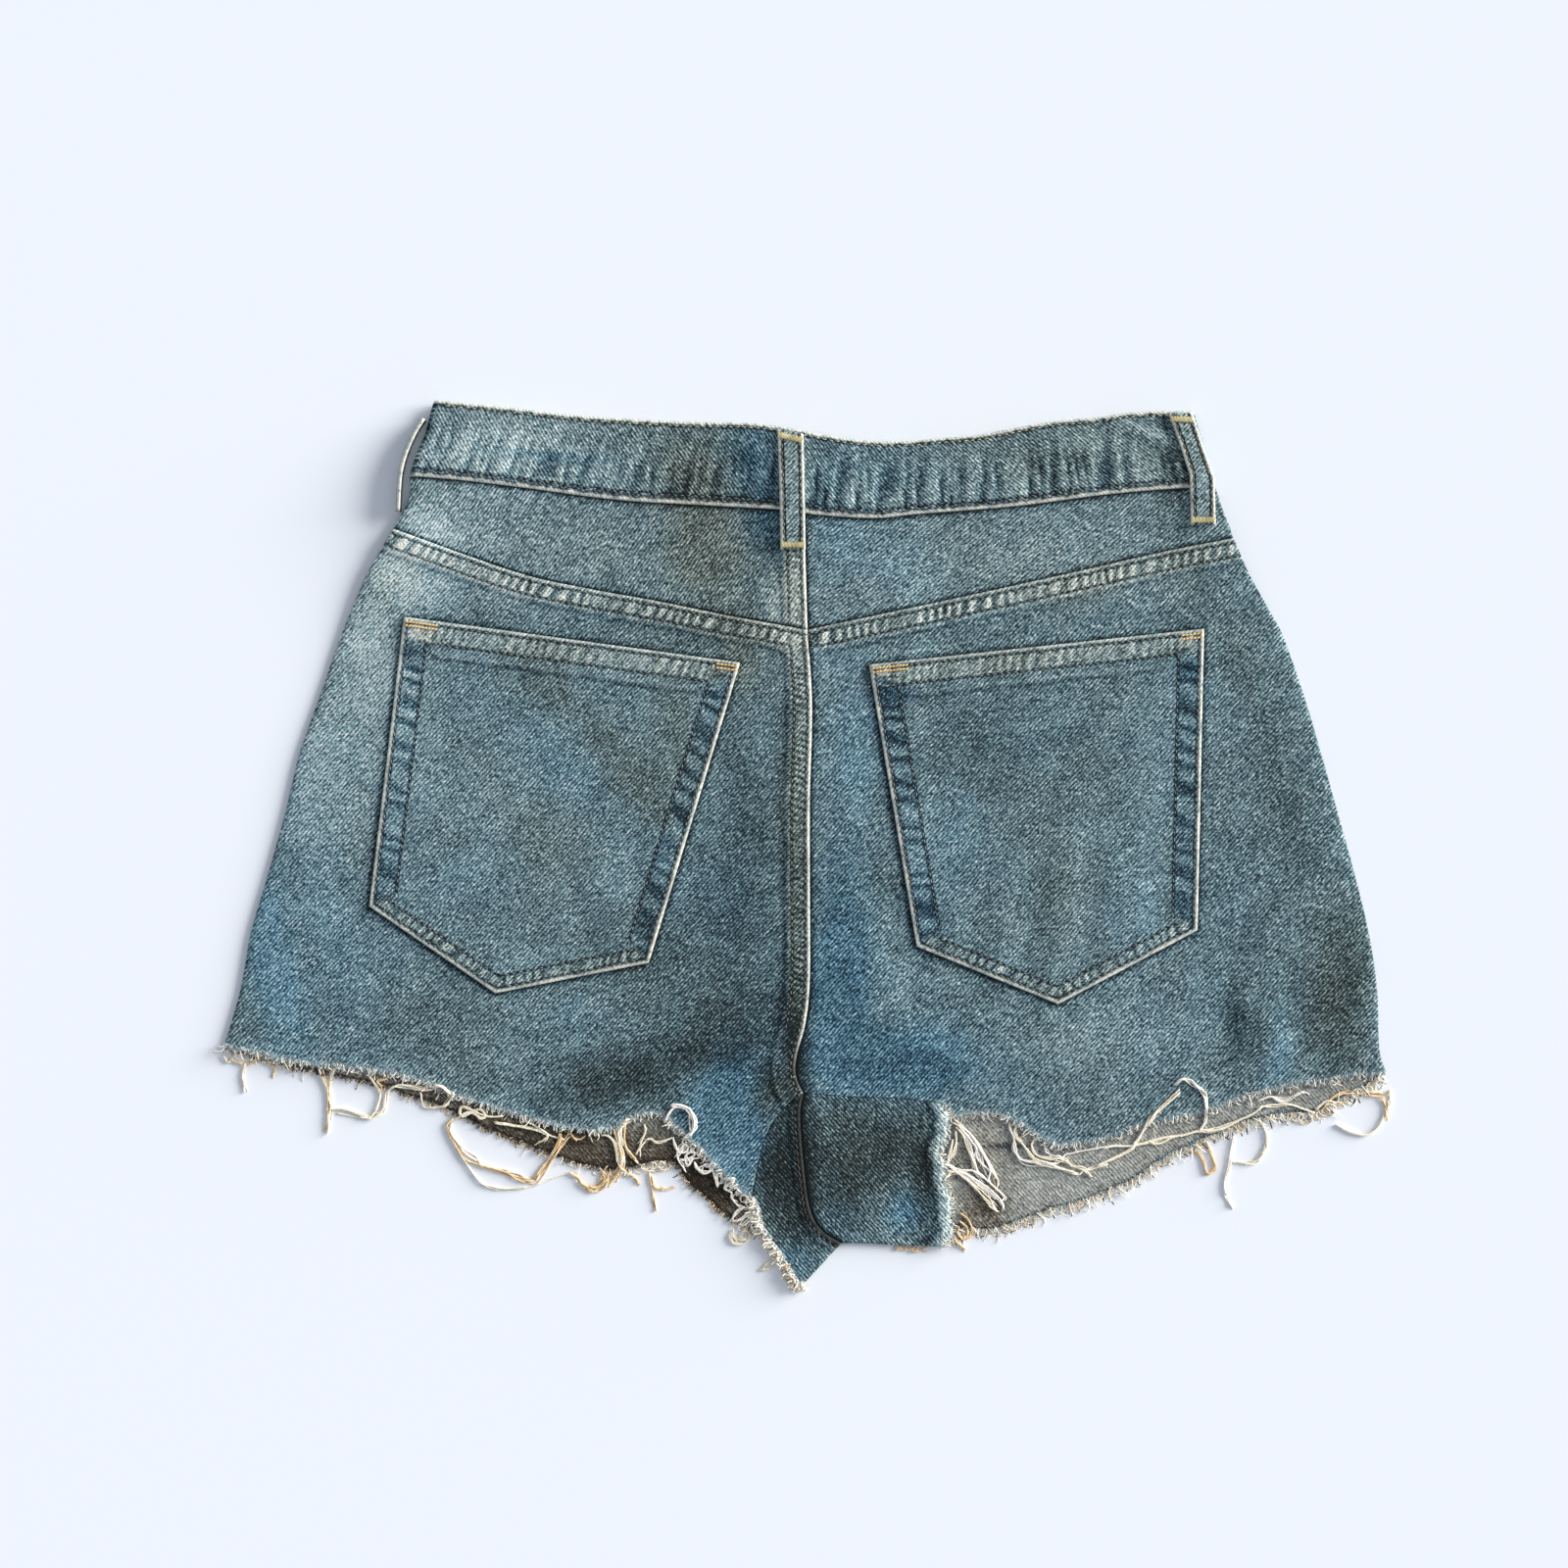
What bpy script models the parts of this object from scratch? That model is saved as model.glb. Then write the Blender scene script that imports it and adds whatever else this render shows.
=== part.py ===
"""Cut-off denim shorts, laid flat on their front with the back uppermost.

Tables and heights are in millimetres, and build_solid() turns them into metres. +X runs to the wearer's
right, +Y to the waist and +Z up. Every piece of cloth is a wall between an under side and an upper side,
both worked out from where the point lies on the garment.
"""
import math
import random

import bpy
from mathutils import Vector
from mathutils.geometry import delaunay_2d_cdt

MM = 0.001

# Cloth and gaps
CLOTH = 1.2            # denim wall
BAND_WALL = 2.2        # waistband: two walls of denim pressed together
LOOP_WALL = 1.6        # belt loop: a strip folded in three
GAP = 0.3              # between neighbouring pieces
LOOP_GAP = 0.55        # under a belt loop, which bridges the small waves of the cloth
FELL_RISE = 0.9        # how far a flat-felled seam stands above the cloth
FELL_WIDTH = 10.2      # width of a flat-felled seam
FELL_SLOPE = 1.0       # width of the step at its second row of stitches
RISE_FELL_WIDTH = 3.6  # narrow rolled edge of the front rise seam
MOUTH_DEPTH = 15.5     # hem along a pocket's mouth
MOUTH_RISE = 0.8

# How the layers lie on each other
WAIST_RAISE = 1.5          # front of the waistband above the floor, on its belt loops
WAIST_RAISE_FROM = 75      # the front starts to rise here
WAIST_RAISE_TO = 138
BUTTON_AT = (2, 173)
BUTTON_RAISE = 1.8         # what the button lifts the band further
BUTTON_SPREAD = 20
BAND_GAP = 1.0             # between the back and the front run of the waistband
BAND_ENDS_AT = 0.53        # where the strip's two ends meet at the front, as a share of its width
BAND_ENDS_CLEAR = 0.02     # no other column of points this close to the ends
YOKE_LIFT = 1.6            # the back rises towards the waistband
YOKE_LIFT_FROM = 95
YOKE_LIFT_TO = 148
SHIELD_LIFT = 1.5          # the back rides over the fly shield
SHIELD_CENTRE = (12, 72)
SHIELD_REACH = (52, 100)
SHIELD_FLAT = 0.62         # share of that reach over which the lift is full
BILLOW = 1.0               # air under the back away from its edges
BILLOW_REACH = 40
BILLOW_AT_EDGE = 4         # an edge already has the air of a point this far in

# Point spacing of the meshes
FINE = 12.5
COARSE = 22
RAMP_STEP = 14        # on the lines that carry the front's rise to the waist
RAMP_LINES = range(WAIST_RAISE_FROM, WAIST_RAISE_TO + RAMP_STEP, RAMP_STEP)
EDGE_STEP = 11
LINE_STEP = 5         # on the lines that heights are read from
BAND_ROWS = 4
BAND_COLUMNS = 30
BAND_TURN = (-60, -30, 0, 30, 60)   # degrees round each end of the flat band

# Side seams, from the waistband down
SIDE_LEFT_YOKE = [(-182, 171), (-182, 162.5), (-186, 153), (-189.5, 147)]
SIDE_LEFT_PANEL = [(-189.5, 147), (-195, 137.5), (-202.5, 124), (-214, 97), (-223.5, 70), (-233, 43),
                   (-239.5, 16), (-247, -11), (-255, -38), (-260, -65), (-267.5, -91)]
SIDE_RIGHT_YOKE = [(188.5, 165.5), (192, 155), (194.5, 149), (196.5, 142.5)]
SIDE_RIGHT_PANEL = [(196.5, 142.5), (204, 126), (213, 110), (220, 97), (229.5, 70), (237.5, 43), (245, 16),
                    (252.5, -11), (259, -38), (263, -65), (264, -92), (267.5, -104)]

# Waistband edges and the seams below it, from left to right
WAIST_TOP = [(-170.5, 206), (-136, 202.5), (-100, 198.5), (-55, 196), (-28, 195.5), (-10, 193.5), (8, 190),
             (26, 187.5), (44, 187), (62, 188.5), (80, 190), (98, 193.5), (116, 196.5), (134, 198),
             (152, 200.5), (178, 201)]
WAIST_SEAM_LEFT = [(-182, 171), (-158.5, 169), (-133, 166), (-87, 160), (-47, 157.5), (-12.5, 155.5),
                   (-0.5, 154)]
WAIST_SEAM_RIGHT = [(-0.5, 154), (5.5, 153), (31.5, 151.5), (52.5, 153.5), (96, 157), (139, 162.5),
                    (175, 165.5), (188.5, 165.5)]
YOKE_SEAM_LEFT = [(-189.5, 147), (-133, 127), (-100, 119.5), (-67, 113.5), (-32.5, 106.5), (1, 100.5)]
YOKE_SEAM_RIGHT = [(1, 100.5), (52.5, 111.5), (110, 124), (167.5, 137), (196.5, 142.5)]

# Centre seams and inseams, from the waistband down and out
SEAT_SEAM_YOKE = [(-0.5, 154), (0, 135.5), (1, 100.5)]
SEAT_SEAM_PANEL = [(1, 100.5), (3, 65), (2, 23.5), (2, -18), (2, -59.5), (0, -80), (-4, -95), (-4.5, -104),
                   (-1, -112.5)]
RISE_SEAM = [(-1, -112.5), (-2.5, -122.5), (-1, -144), (2, -165.5), (7.5, -175.5), (16.5, -181.5)]
FRONT_CENTRE = [(16.5, -181.5), (8, -120), (3, -60), (1, 50), (-0.5, 154)]
INSEAM_LEFT = [(-1, -112.5), (-10, -119), (-18.5, -132.5), (-23, -150.5), (-25, -161)]
INSEAM_RIGHT = [(-1, -112.5), (21.5, -114), (44, -115), (63, -117.5)]
FOLD_LEFT = [(-1, -200.5), (16.5, -181.5)]
FOLD_RIGHT = [(16.5, -181.5), (26, -181.5), (44, -182.5), (63, -183)]

# Raw hems, from left to right, with the outside on the right hand
HEM_BACK_LEFT = [(-267.5, -91), (-250, -95), (-232, -98.5), (-201.5, -102), (-177.5, -107), (-159.5, -114.5),
                 (-135.5, -121.5), (-111, -128.5), (-92, -130), (-79.5, -123.5), (-65, -123.5),
                 (-57.5, -131.5), (-41.5, -146), (-30.5, -157.5), (-25, -161)]
HEM_TURNUP_LEFT = [(-25, -161), (-21, -173), (-14.5, -184.5), (-4.5, -200), (-1, -200.5)]
HEM_TURNUP_RIGHT = [(63, -183), (67.5, -178), (66.5, -166.5), (65, -153), (63, -139.5), (66, -124),
                    (63, -117.5)]
HEM_BACK_RIGHT = [(63, -117.5), (68, -123.5), (79, -121.5), (88, -123), (98, -126.5), (108.5, -133.5),
                  (119, -137), (138, -132.5), (164, -125.5), (190, -119), (203, -114), (222.5, -109),
                  (241.5, -106), (267.5, -104)]
HEM_FRONT_LEFT = [(-267.5, -91), (-233, -101.5), (-203, -107), (-183.5, -113), (-165, -120), (-143.5, -130),
                  (-119.5, -139.5), (-101, -146), (-87.5, -147.5), (-76, -145.5), (-62, -144),
                  (-54.5, -152.5), (-38, -168), (-28, -173), (-14.5, -181), (-4.5, -195.5), (-1, -200.5)]
HEM_FRONT_RIGHT = [(63, -183), (73.5, -174.5), (80, -175.5), (93, -173), (115, -165.5), (138, -158),
                   (164, -143.5), (181, -134.5), (203, -125.5), (222.5, -122), (235, -120.5), (248, -114),
                   (267.5, -104)]

# Patch pockets: mouth from left to right, then the three lower corners back to the left
POCKET_LEFT = {"mouth": [(-184.5, 106.5), (-30, 85.5)],
               "foot": [(-72, -52.5), (-142.5, -66.5), (-200.5, -26.5)]}
POCKET_RIGHT = {"mouth": [(29, 84.5), (183, 101)],
                "foot": [(180, -37.5), (116, -71.5), (51, -45)]}

# Largest folds of the back layer: a soft ridge (height above 0) or trough (below 0) along each line
FOLDS = (
    # start,        end,          height, half width
    ((200, -66), (222, -106), 1.9, 9),       # ridge above the right hem
    ((198, -50), (192, -104), -1.0, 8),      # trough beside it
    ((203, -26), (235, 14), -1.0, 12),       # slanting hollow at the right hip
    ((214, -38), (246, 4), 1.1, 11),         # and the ridge below it
    ((22, -58), (50, -104), 1.4, 15),        # fullness right of the crotch
    ((-55, -104), (-8, -66), -1.0, 13),      # hollow left of the crotch
    ((-84, -112), (-30, -84), 1.5, 12),      # ridge beside that hollow
    ((-46, -138), (-22, -112), 1.2, 10),     # fullness of the left inner thigh
    ((10, -130), (30, -172), 1.2, 12),       # fullness of the right turn-up
    ((92, -8), (88, -48), 0.8, 8),           # creases in the lower half of the right pocket
    ((118, -2), (112, -58), 0.9, 8),
    ((142, -4), (140, -46), 0.8, 8),
    ((-96, -4), (-84, -44), 0.8, 9),         # crease in the left pocket
    ((-224, 40), (-238, -30), 0.9, 14),      # side of the left leg
    ((-170, -72), (-120, -108), -0.8, 15),   # hollow above the left hem
)
BAND_FOLDS = (
    # start,        end,          height, half width
    ((143, 197), (172, 184), 1.0, 5),        # crest at the right end of the band
    ((-176, 190), (-165, 192), -0.8, 5),     # crease at the left end
    ((96, 178), (110, 169), -0.7, 6),
    ((6, 178), (18, 169), -0.7, 6),
)

# Belt loops: the corners of the flat ones, and the route of the one that stands on edge at the left side
LOOP_BACK = [(-13, 192.5), (-12, 165), (-11.5, 137), (0, 137), (-0.5, 165), (-1, 190)]
LOOP_RIGHT = [(166, 200), (171, 186), (176, 171.5), (176.5, 148.5), (188, 148.5), (187.5, 170), (182.5, 184),
              (177.5, 199.5)]
LOOP_LEFT_ROUTE = [(-174.8, 197), (-178.6, 191), (-182.3, 183), (-184.8, 175), (-185.9, 167), (-186.5, 155)]
LOOP_LEFT_HEIGHTS = (0.3, 9.4)
LOOP_FRONT_X = (-95, 95)
LOOP_WIDTH = 12
LOOP_BELOW_BAND = 9
LOOP_TOP_INSET = 0.5
LOOP_SPACING = 9
LOOP_STEP = (6, 1.5)      # it steps down from the band between these distances below the seam

# Fly and button
FLY_SHIELD = [(2, 146), (2, 4), (14, 6), (28, 20), (37, 44), (39, 80), (39, 146)]
FLY_ZIP = [(-22, 142), (-22, 12), (1.7, 12), (1.7, 142)]
ZIP_WALL = 1.0
BUTTON_PROFILE = [(7.4, 0), (8.5, 0.7), (8.5, 1.4), (7.6, 2.0), (3.5, 2.0), (3.5, 3.0)]
BUTTON_SIDES = 24

# Frayed edges
FRAY_STRIP = 1.4        # width of the strip that holds the roots
FRAY_WALL = 0.8
FRAY_STEP = 2.4         # between the points of a strip's long sides
FRAY_PITCH = 5.6        # between short strands
FRAY_LENGTH = (2.2, 5.0)
STRAND_WIDTH = 0.9
STRAND_TIP = 0.5
STRAND_LEAN = 0.35
STRAND_APART = 1.6      # a short strand keeps this far from a long one
LONG_STRAND_STEP = 6
FRAY_FLOOR = 0.2        # front strands end this far above the floor
NO_INNER_POINTS = 500   # a spacing wider than any piece: points on the outline only
FRAYS = (
    # node,               hem,              from and to along it,  layer,   seed
    ("fray_back_left", HEM_BACK_LEFT, 0.004, 0.992, "back", 1),
    ("fray_turnup_left", HEM_TURNUP_LEFT, 0.05, 1.0, "back", 2),
    ("fray_turnup_right", HEM_TURNUP_RIGHT, 0.03, 0.93, "back", 3),
    ("fray_back_right", HEM_BACK_RIGHT, 0.07, 0.995, "back", 4),
    ("fray_front_left", HEM_FRONT_LEFT, 0.01, 0.87, "front", 5),
    ("fray_front_right", HEM_FRONT_RIGHT, 0.04, 0.99, "front", 6),
)
LONG_STRANDS = {
    "fray_back_left": (
        [(-265.5, -92), (-269, -95)],
        [(-224, -100), (-221, -108), (-218, -118), (-221, -130)],
        [(-162, -115), (-161, -132), (-152, -143), (-136, -150), (-122, -155), (-115, -147)],
        [(-88, -130), (-84, -141), (-92, -152), (-102, -157)],
    ),
    "fray_turnup_left": (
        [(-11, -190), (-15, -193), (-16, -198)],
        [(-6, -199), (-10, -202), (-9, -206.5)],
    ),
    "fray_back_right": (
        [(264.5, -104), (269, -107)],
        [(96, -127), (98, -139), (108, -145), (124, -148), (142, -146)],
        [(181, -122), (186, -138)],
        [(236, -107), (244, -126), (256, -132), (266, -122)],
    ),
    "fray_front_right": (
        [(205, -126), (211, -134), (208, -143), (199, -145)],
        [(193, -130), (194, -160)],
    ),
    "fray_front_left": (
        [(-132, -136), (-118, -149), (-98, -156)],
    ),
    # the tassel: two bundles of loose warp ends beside the right turn-up, lowest root first
    "fray_turnup_right": (
        [(66.5, -147), (70, -150.5), (78, -155), (82.5, -161.5), (88.5, -168.5)],
        [(66.2, -145), (70.5, -148.3), (79, -152.8), (84, -159.3), (91, -166.5)],
        [(66, -143), (71, -146), (80, -150.5), (86, -157), (92.5, -163.5)],
        [(69, -129.5), (73, -138), (76.5, -144), (78.5, -147)],
        [(69.3, -127.5), (75.5, -135.5), (81, -143.5), (85.5, -150)],
        [(69, -125.2), (77, -132.5), (83.5, -141.5), (89, -151), (92, -156)],
    ),
}
COLOURS = {
    # name:          sRGB 0 to 255,    roughness, metallic
    "denim": ((108, 129, 137), 0.85, 0.0),
    "denim_inside": ((150, 156, 155), 0.9, 0.0),
    "fray_thread": ((226, 219, 205), 0.9, 0.0),
    "zip_tape": ((70, 78, 90), 0.8, 0.0),
    "button_metal": ((176, 140, 96), 0.35, 1.0),
}


# ---------------------------------------------------------------- plane geometry

def smooth_step(low, high, value):
    share = min(1.0, max(0.0, (value - low) / (high - low)))
    return share * share * (3 - 2 * share)


def smooth_curve(points, step):
    """A curve through the points, read about every step millimetres."""
    knots = [Vector(p) for p in points]
    padded = [2 * knots[0] - knots[1]] + knots + [2 * knots[-1] - knots[-2]]
    curve = []
    for a, b, c, d in zip(padded, padded[1:], padded[2:], padded[3:]):
        pieces = max(1, round((c - b).length / step))
        for index in range(pieces):
            t = index / pieces
            curve.append(0.5 * (2 * b + (c - a) * t + (2 * a - 5 * b + 4 * c - d) * t * t
                                + (3 * b - a - 3 * c + d) * t * t * t))
    curve.append(knots[-1])
    return curve


def straight_edges(corners, step):
    """Points along straight edges, each edge cut into equal steps."""
    points = []
    for a, b in zip(corners, corners[1:]):
        pieces = max(1, round((Vector(b) - Vector(a)).length / step))
        points += [Vector(a).lerp(Vector(b), index / pieces) for index in range(pieces)]
    points.append(Vector(corners[-1]))
    return points


def closed_outline(*edges):
    """Join edges end to end into one closed outline, counter-clockwise."""
    points = []
    for edge in edges:
        for point in edge:
            if not points or (point - points[-1]).length > 0.5:
                points.append(point)
    if (points[0] - points[-1]).length < 0.5:
        points.pop()
    return points


def offset_outline(outline, inwards):
    """Move a counter-clockwise outline inwards, corners along their bisector."""
    moved = []
    for before, point, after in zip(outline[-1:] + outline[:-1], outline, outline[1:] + outline[:1]):
        first = (point - before).normalized()
        second = (after - point).normalized()
        normal = Vector((-first.y - second.y, first.x + second.x))
        reach = max(0.5, normal.length_squared / 2)
        moved.append(point + normal * (inwards / reach))
    return moved


def beside(curve, distance):
    """The curve moved to its right hand by the distance."""
    moved = []
    for index, point in enumerate(curve):
        along = curve[min(index + 1, len(curve) - 1)] - curve[max(index - 1, 0)]
        along.normalize()
        moved.append(point + Vector((along.y, -along.x)) * distance)
    return moved


def corners_only(line):
    """The line without the points that lie on its straight runs."""
    kept = [line[0]]
    for before, point, after in zip(line, line[1:], line[2:]):
        if (point - before).normalized().dot((after - point).normalized()) < 0.9999:
            kept.append(point)
    return kept + [line[-1]]


def nearest(curve, point):
    """Distance from a point to a curve, and the share of the curve's length where it is nearest."""
    best = (1e9, 0.0)
    for index, (a, b) in enumerate(zip(curve, curve[1:])):
        span = b - a
        share = min(1.0, max(0.0, (point - a).dot(span) / max(span.length_squared, 1e-9)))
        distance = (a + span * share - point).length
        if distance < best[0]:
            best = (distance, (index + share) / (len(curve) - 1))
    return best


def is_inside(outline, point):
    inside = False
    for a, b in zip(outline, outline[1:] + outline[:1]):
        if (a.y > point.y) != (b.y > point.y):
            crossing = a.x + (point.y - a.y) / (b.y - a.y) * (b.x - a.x)
            if point.x < crossing:
                inside = not inside
    return inside


def along_curve(curve, share):
    """The point at a share of a curve's length, counted in its equal steps."""
    place = min(max(share, 0.0), 1.0) * (len(curve) - 1)
    index = min(int(place), len(curve) - 2)
    return curve[index].lerp(curve[index + 1], place - index)


def y_at(curve, x):
    """Height on the page of a curve that runs from left to right."""
    for a, b in zip(curve, curve[1:]):
        if a.x <= x <= b.x:
            return a.y + (x - a.x) / (b.x - a.x) * (b.y - a.y)
    return curve[0].y if x < curve[0].x else curve[-1].y


def x_at(curve, y):
    """Place across the page of a curve that runs downwards."""
    for a, b in zip(curve, curve[1:]):
        if a.y >= y >= b.y:
            return a.x + (y - a.y) / (b.y - a.y) * (b.x - a.x)
    return curve[0].x if y > curve[0].y else curve[-1].x


# ---------------------------------------------------------------- meshes

def triangulate(outline, lines, spacing):
    """Triangles that fill an outline, with edges along the lines and even points between."""
    points = list(outline)
    edges = [(i, (i + 1) % len(outline)) for i in range(len(outline))]
    fences = [outline + outline[:1]]
    for line in lines:
        kept = [p for p in line if is_inside(outline, p) and nearest(fences[0], p)[0] > 0.4]
        if len(kept) > 1:
            edges += [(len(points) + i, len(points) + i + 1) for i in range(len(kept) - 1)]
            points += kept
            fences.append(kept)
    low_x = min(p.x for p in outline)
    high_x = max(p.x for p in outline)
    low_y = min(p.y for p in outline)
    high_y = max(p.y for p in outline)
    row_step = spacing * math.sqrt(3) / 2
    for row in range(int((high_y - low_y) / row_step) + 1):
        shift = spacing / 2 if row % 2 else 0
        for column in range(int((high_x - low_x) / spacing) + 1):
            point = Vector((low_x + shift + column * spacing, low_y + (row + 0.5) * row_step))
            if is_inside(outline, point) and all(nearest(f, point)[0] > 0.5 * spacing for f in fences):
                points.append(point)
    face = [list(range(len(outline)))]
    flat, _, triangles, _, _, _ = delaunay_2d_cdt(points, edges, face, 1, 1e-5)
    turned = []
    for a, b, c in triangles:
        area = (flat[b] - flat[a]).cross(flat[c] - flat[a])
        turned.append((a, b, c) if area > 0 else (a, c, b))
    return list(flat), turned


def part_of(flat, triangles, outline):
    """The triangles whose middle lies inside an outline, with their own points."""
    kept = []
    for triangle in triangles:
        middle = (flat[triangle[0]] + flat[triangle[1]] + flat[triangle[2]]) / 3
        if is_inside(outline, middle):
            kept.append(triangle)
    used = sorted({index for triangle in kept for index in triangle})
    renumbered = {old: new for new, old in enumerate(used)}
    return [flat[i] for i in used], [tuple(renumbered[i] for i in t) for t in kept]


def build_solid(name, vertices, faces, material_name):
    """One named object from points in millimetres."""
    mesh = bpy.data.meshes.new(name)
    mesh.from_pydata([(x * MM, y * MM, z * MM) for x, y, z in vertices], [], faces)
    mesh.update()
    mesh.shade_smooth()
    mesh.set_sharp_from_angle(angle=math.radians(35))
    item = bpy.data.objects.new(name, mesh)
    bpy.context.scene.collection.objects.link(item)
    mesh.materials.append(material(material_name))
    return item


def build_wall(name, flat, triangles, under, upper, material_name):
    """A wall of cloth: the same triangles on its upper and under side, and a rim round every edge."""
    used = sorted({index for triangle in triangles for index in triangle})
    place = {old: new for new, old in enumerate(used)}
    count = len(used)
    vertices = [(flat[i].x, flat[i].y, upper(flat[i].x, flat[i].y)) for i in used]
    vertices += [(flat[i].x, flat[i].y, under(flat[i].x, flat[i].y)) for i in used]
    faces = []
    directed = set()
    for triangle in triangles:
        a, b, c = (place[i] for i in triangle)
        faces.append((a, b, c))
        faces.append((a + count, c + count, b + count))
        directed |= {(a, b), (b, c), (c, a)}
    for a, b in sorted(directed):
        if (b, a) not in directed:
            faces.append((b, a, a + count, b + count))
    return build_solid(name, vertices, faces, material_name)


def material(name):
    """A Principled material for one finish, made once."""
    known = bpy.data.materials.get(name)
    if known:
        return known
    srgb, roughness, metallic = COLOURS[name]
    made = bpy.data.materials.new(name)
    made.use_nodes = True
    shader = made.node_tree.nodes["Principled BSDF"]
    shader.inputs["Base Color"].default_value = (*[(value / 255) ** 2.2 for value in srgb], 1.0)
    shader.inputs["Roughness"].default_value = roughness
    shader.inputs["Metallic"].default_value = metallic
    return made


# ---------------------------------------------------------------- how the garment lies

def edge(points):
    return smooth_curve(points, EDGE_STEP)


BACK_EDGE = closed_outline(edge(SIDE_LEFT_PANEL), edge(HEM_BACK_LEFT), edge(HEM_TURNUP_LEFT), edge(FOLD_LEFT),
                           edge(FOLD_RIGHT), edge(HEM_TURNUP_RIGHT), edge(HEM_BACK_RIGHT),
                           edge(SIDE_RIGHT_PANEL)[::-1])


def fold_height(folds, x, y):
    """Sum of the soft ridges and troughs at a point; each fades out over its own width at both ends."""
    total = 0.0
    for start, end, height, half_width in folds:
        distance, _ = nearest([Vector(start), Vector(end)], Vector((x, y)))
        total += height * math.exp(-(distance / half_width) ** 2)
    return total


def front_under(x, y):
    """Under side of the front layer: on the floor, and raised at the waist by its loops and the button."""
    raised = WAIST_RAISE * smooth_step(WAIST_RAISE_FROM, WAIST_RAISE_TO, y)
    from_button = math.hypot(x - BUTTON_AT[0], y - BUTTON_AT[1]) / BUTTON_SPREAD
    return raised + BUTTON_RAISE * math.exp(-from_button ** 2 / 2)


def back_under(x, y):
    """Under side of the back layer, over the front layer, the fly shield and a little air."""
    near_waist = smooth_step(YOKE_LIFT_FROM, YOKE_LIFT_TO, y)
    to_waist = YOKE_LIFT * near_waist
    across = (x - SHIELD_CENTRE[0]) / SHIELD_REACH[0]
    down = (y - SHIELD_CENTRE[1]) / SHIELD_REACH[1]
    over_shield = SHIELD_LIFT * (1 - smooth_step(SHIELD_FLAT, 1.0, (across ** 4 + down ** 4) ** 0.25))
    stacked = (to_waist ** 6 + over_shield ** 6) ** (1 / 6)
    inwards = nearest(BACK_EDGE, Vector((x, y)))[0]
    air = (BILLOW + fold_height(FOLDS, x, y)) * smooth_step(0, BILLOW_REACH, inwards + BILLOW_AT_EDGE)
    air *= 1 - near_waist
    return front_under(x, y) + CLOTH + GAP + stacked + max(0.0, air)


def front_upper(x, y):
    return front_under(x, y) + CLOTH


YOKE_LINE = smooth_curve(YOKE_SEAM_LEFT, LINE_STEP) + smooth_curve(YOKE_SEAM_RIGHT, LINE_STEP)[1:]
SEAT_LINE = smooth_curve(SEAT_SEAM_YOKE, LINE_STEP) + smooth_curve(SEAT_SEAM_PANEL, LINE_STEP)[1:]
RISE_LINE = smooth_curve(RISE_SEAM, LINE_STEP)
WAIST_LINE = smooth_curve(WAIST_SEAM_LEFT, LINE_STEP) + smooth_curve(WAIST_SEAM_RIGHT, LINE_STEP)[1:]


def fell_share(distance, width):
    """1 on a flat-felled seam, falling to 0 at the step beyond its second row of stitches."""
    if distance < -GAP:
        return 0.0
    return 1 - smooth_step(width, width + FELL_SLOPE, distance)


def back_upper(x, y):
    """Upper side of the back layer, with the felled seams of yoke, seat and front rise."""
    below_yoke = fell_share(y_at(YOKE_LINE, x) - y, FELL_WIDTH)
    left_of_seat = fell_share(x_at(SEAT_LINE, y) - x, FELL_WIDTH) if y > RISE_LINE[0].y else 0.0
    left_of_rise = fell_share(x_at(RISE_LINE, y) - x, RISE_FELL_WIDTH) if y <= RISE_LINE[0].y else 0.0
    return back_under(x, y) + CLOTH + FELL_RISE * max(below_yoke, left_of_seat, left_of_rise)


def fell_lines(seam, width):
    """The two lines of the step at the far side of a felled seam that lies right of the curve."""
    return [beside(seam, width), beside(seam, width + FELL_SLOPE)]


# ---------------------------------------------------------------- back

def build_back_panels():
    panels = (
        ("left", POCKET_LEFT,
         closed_outline(edge(SIDE_LEFT_PANEL), edge(HEM_BACK_LEFT), edge(INSEAM_LEFT)[::-1],
                        edge(SEAT_SEAM_PANEL)[::-1], edge(YOKE_SEAM_LEFT)[::-1])),
        ("right", POCKET_RIGHT,
         closed_outline(edge(SEAT_SEAM_PANEL), edge(INSEAM_RIGHT), edge(HEM_BACK_RIGHT),
                        edge(SIDE_RIGHT_PANEL)[::-1], edge(YOKE_SEAM_RIGHT)[::-1])),
    )
    for side, pocket, outline in panels:
        mouth = straight_edges(pocket["mouth"], EDGE_STEP)
        corners = pocket["mouth"][1:] + pocket["foot"] + pocket["mouth"][:1]
        pocket_loop = mouth[:-1] + straight_edges(corners, EDGE_STEP)
        lines = [pocket_loop]
        for depth in (MOUTH_DEPTH, MOUTH_DEPTH + FELL_SLOPE):
            lines.append(trimmed(beside(mouth, depth), pocket_loop))
        seam = edge(YOKE_SEAM_LEFT if side == "left" else YOKE_SEAM_RIGHT)
        lines += fell_lines(seam, FELL_WIDTH)
        if side == "left":
            lines += fell_lines(edge(SEAT_SEAM_PANEL), FELL_WIDTH)
        flat, triangles = triangulate(offset_outline(outline, GAP / 2), lines, FINE)
        build_wall("back_panel_" + side, flat, triangles, back_under, back_upper, "denim")
        build_pocket(side, pocket_loop, mouth, flat, triangles)


def trimmed(line, outline):
    """The part of a line that lies inside an outline."""
    return [p for p in line if is_inside(outline, p)]


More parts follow.
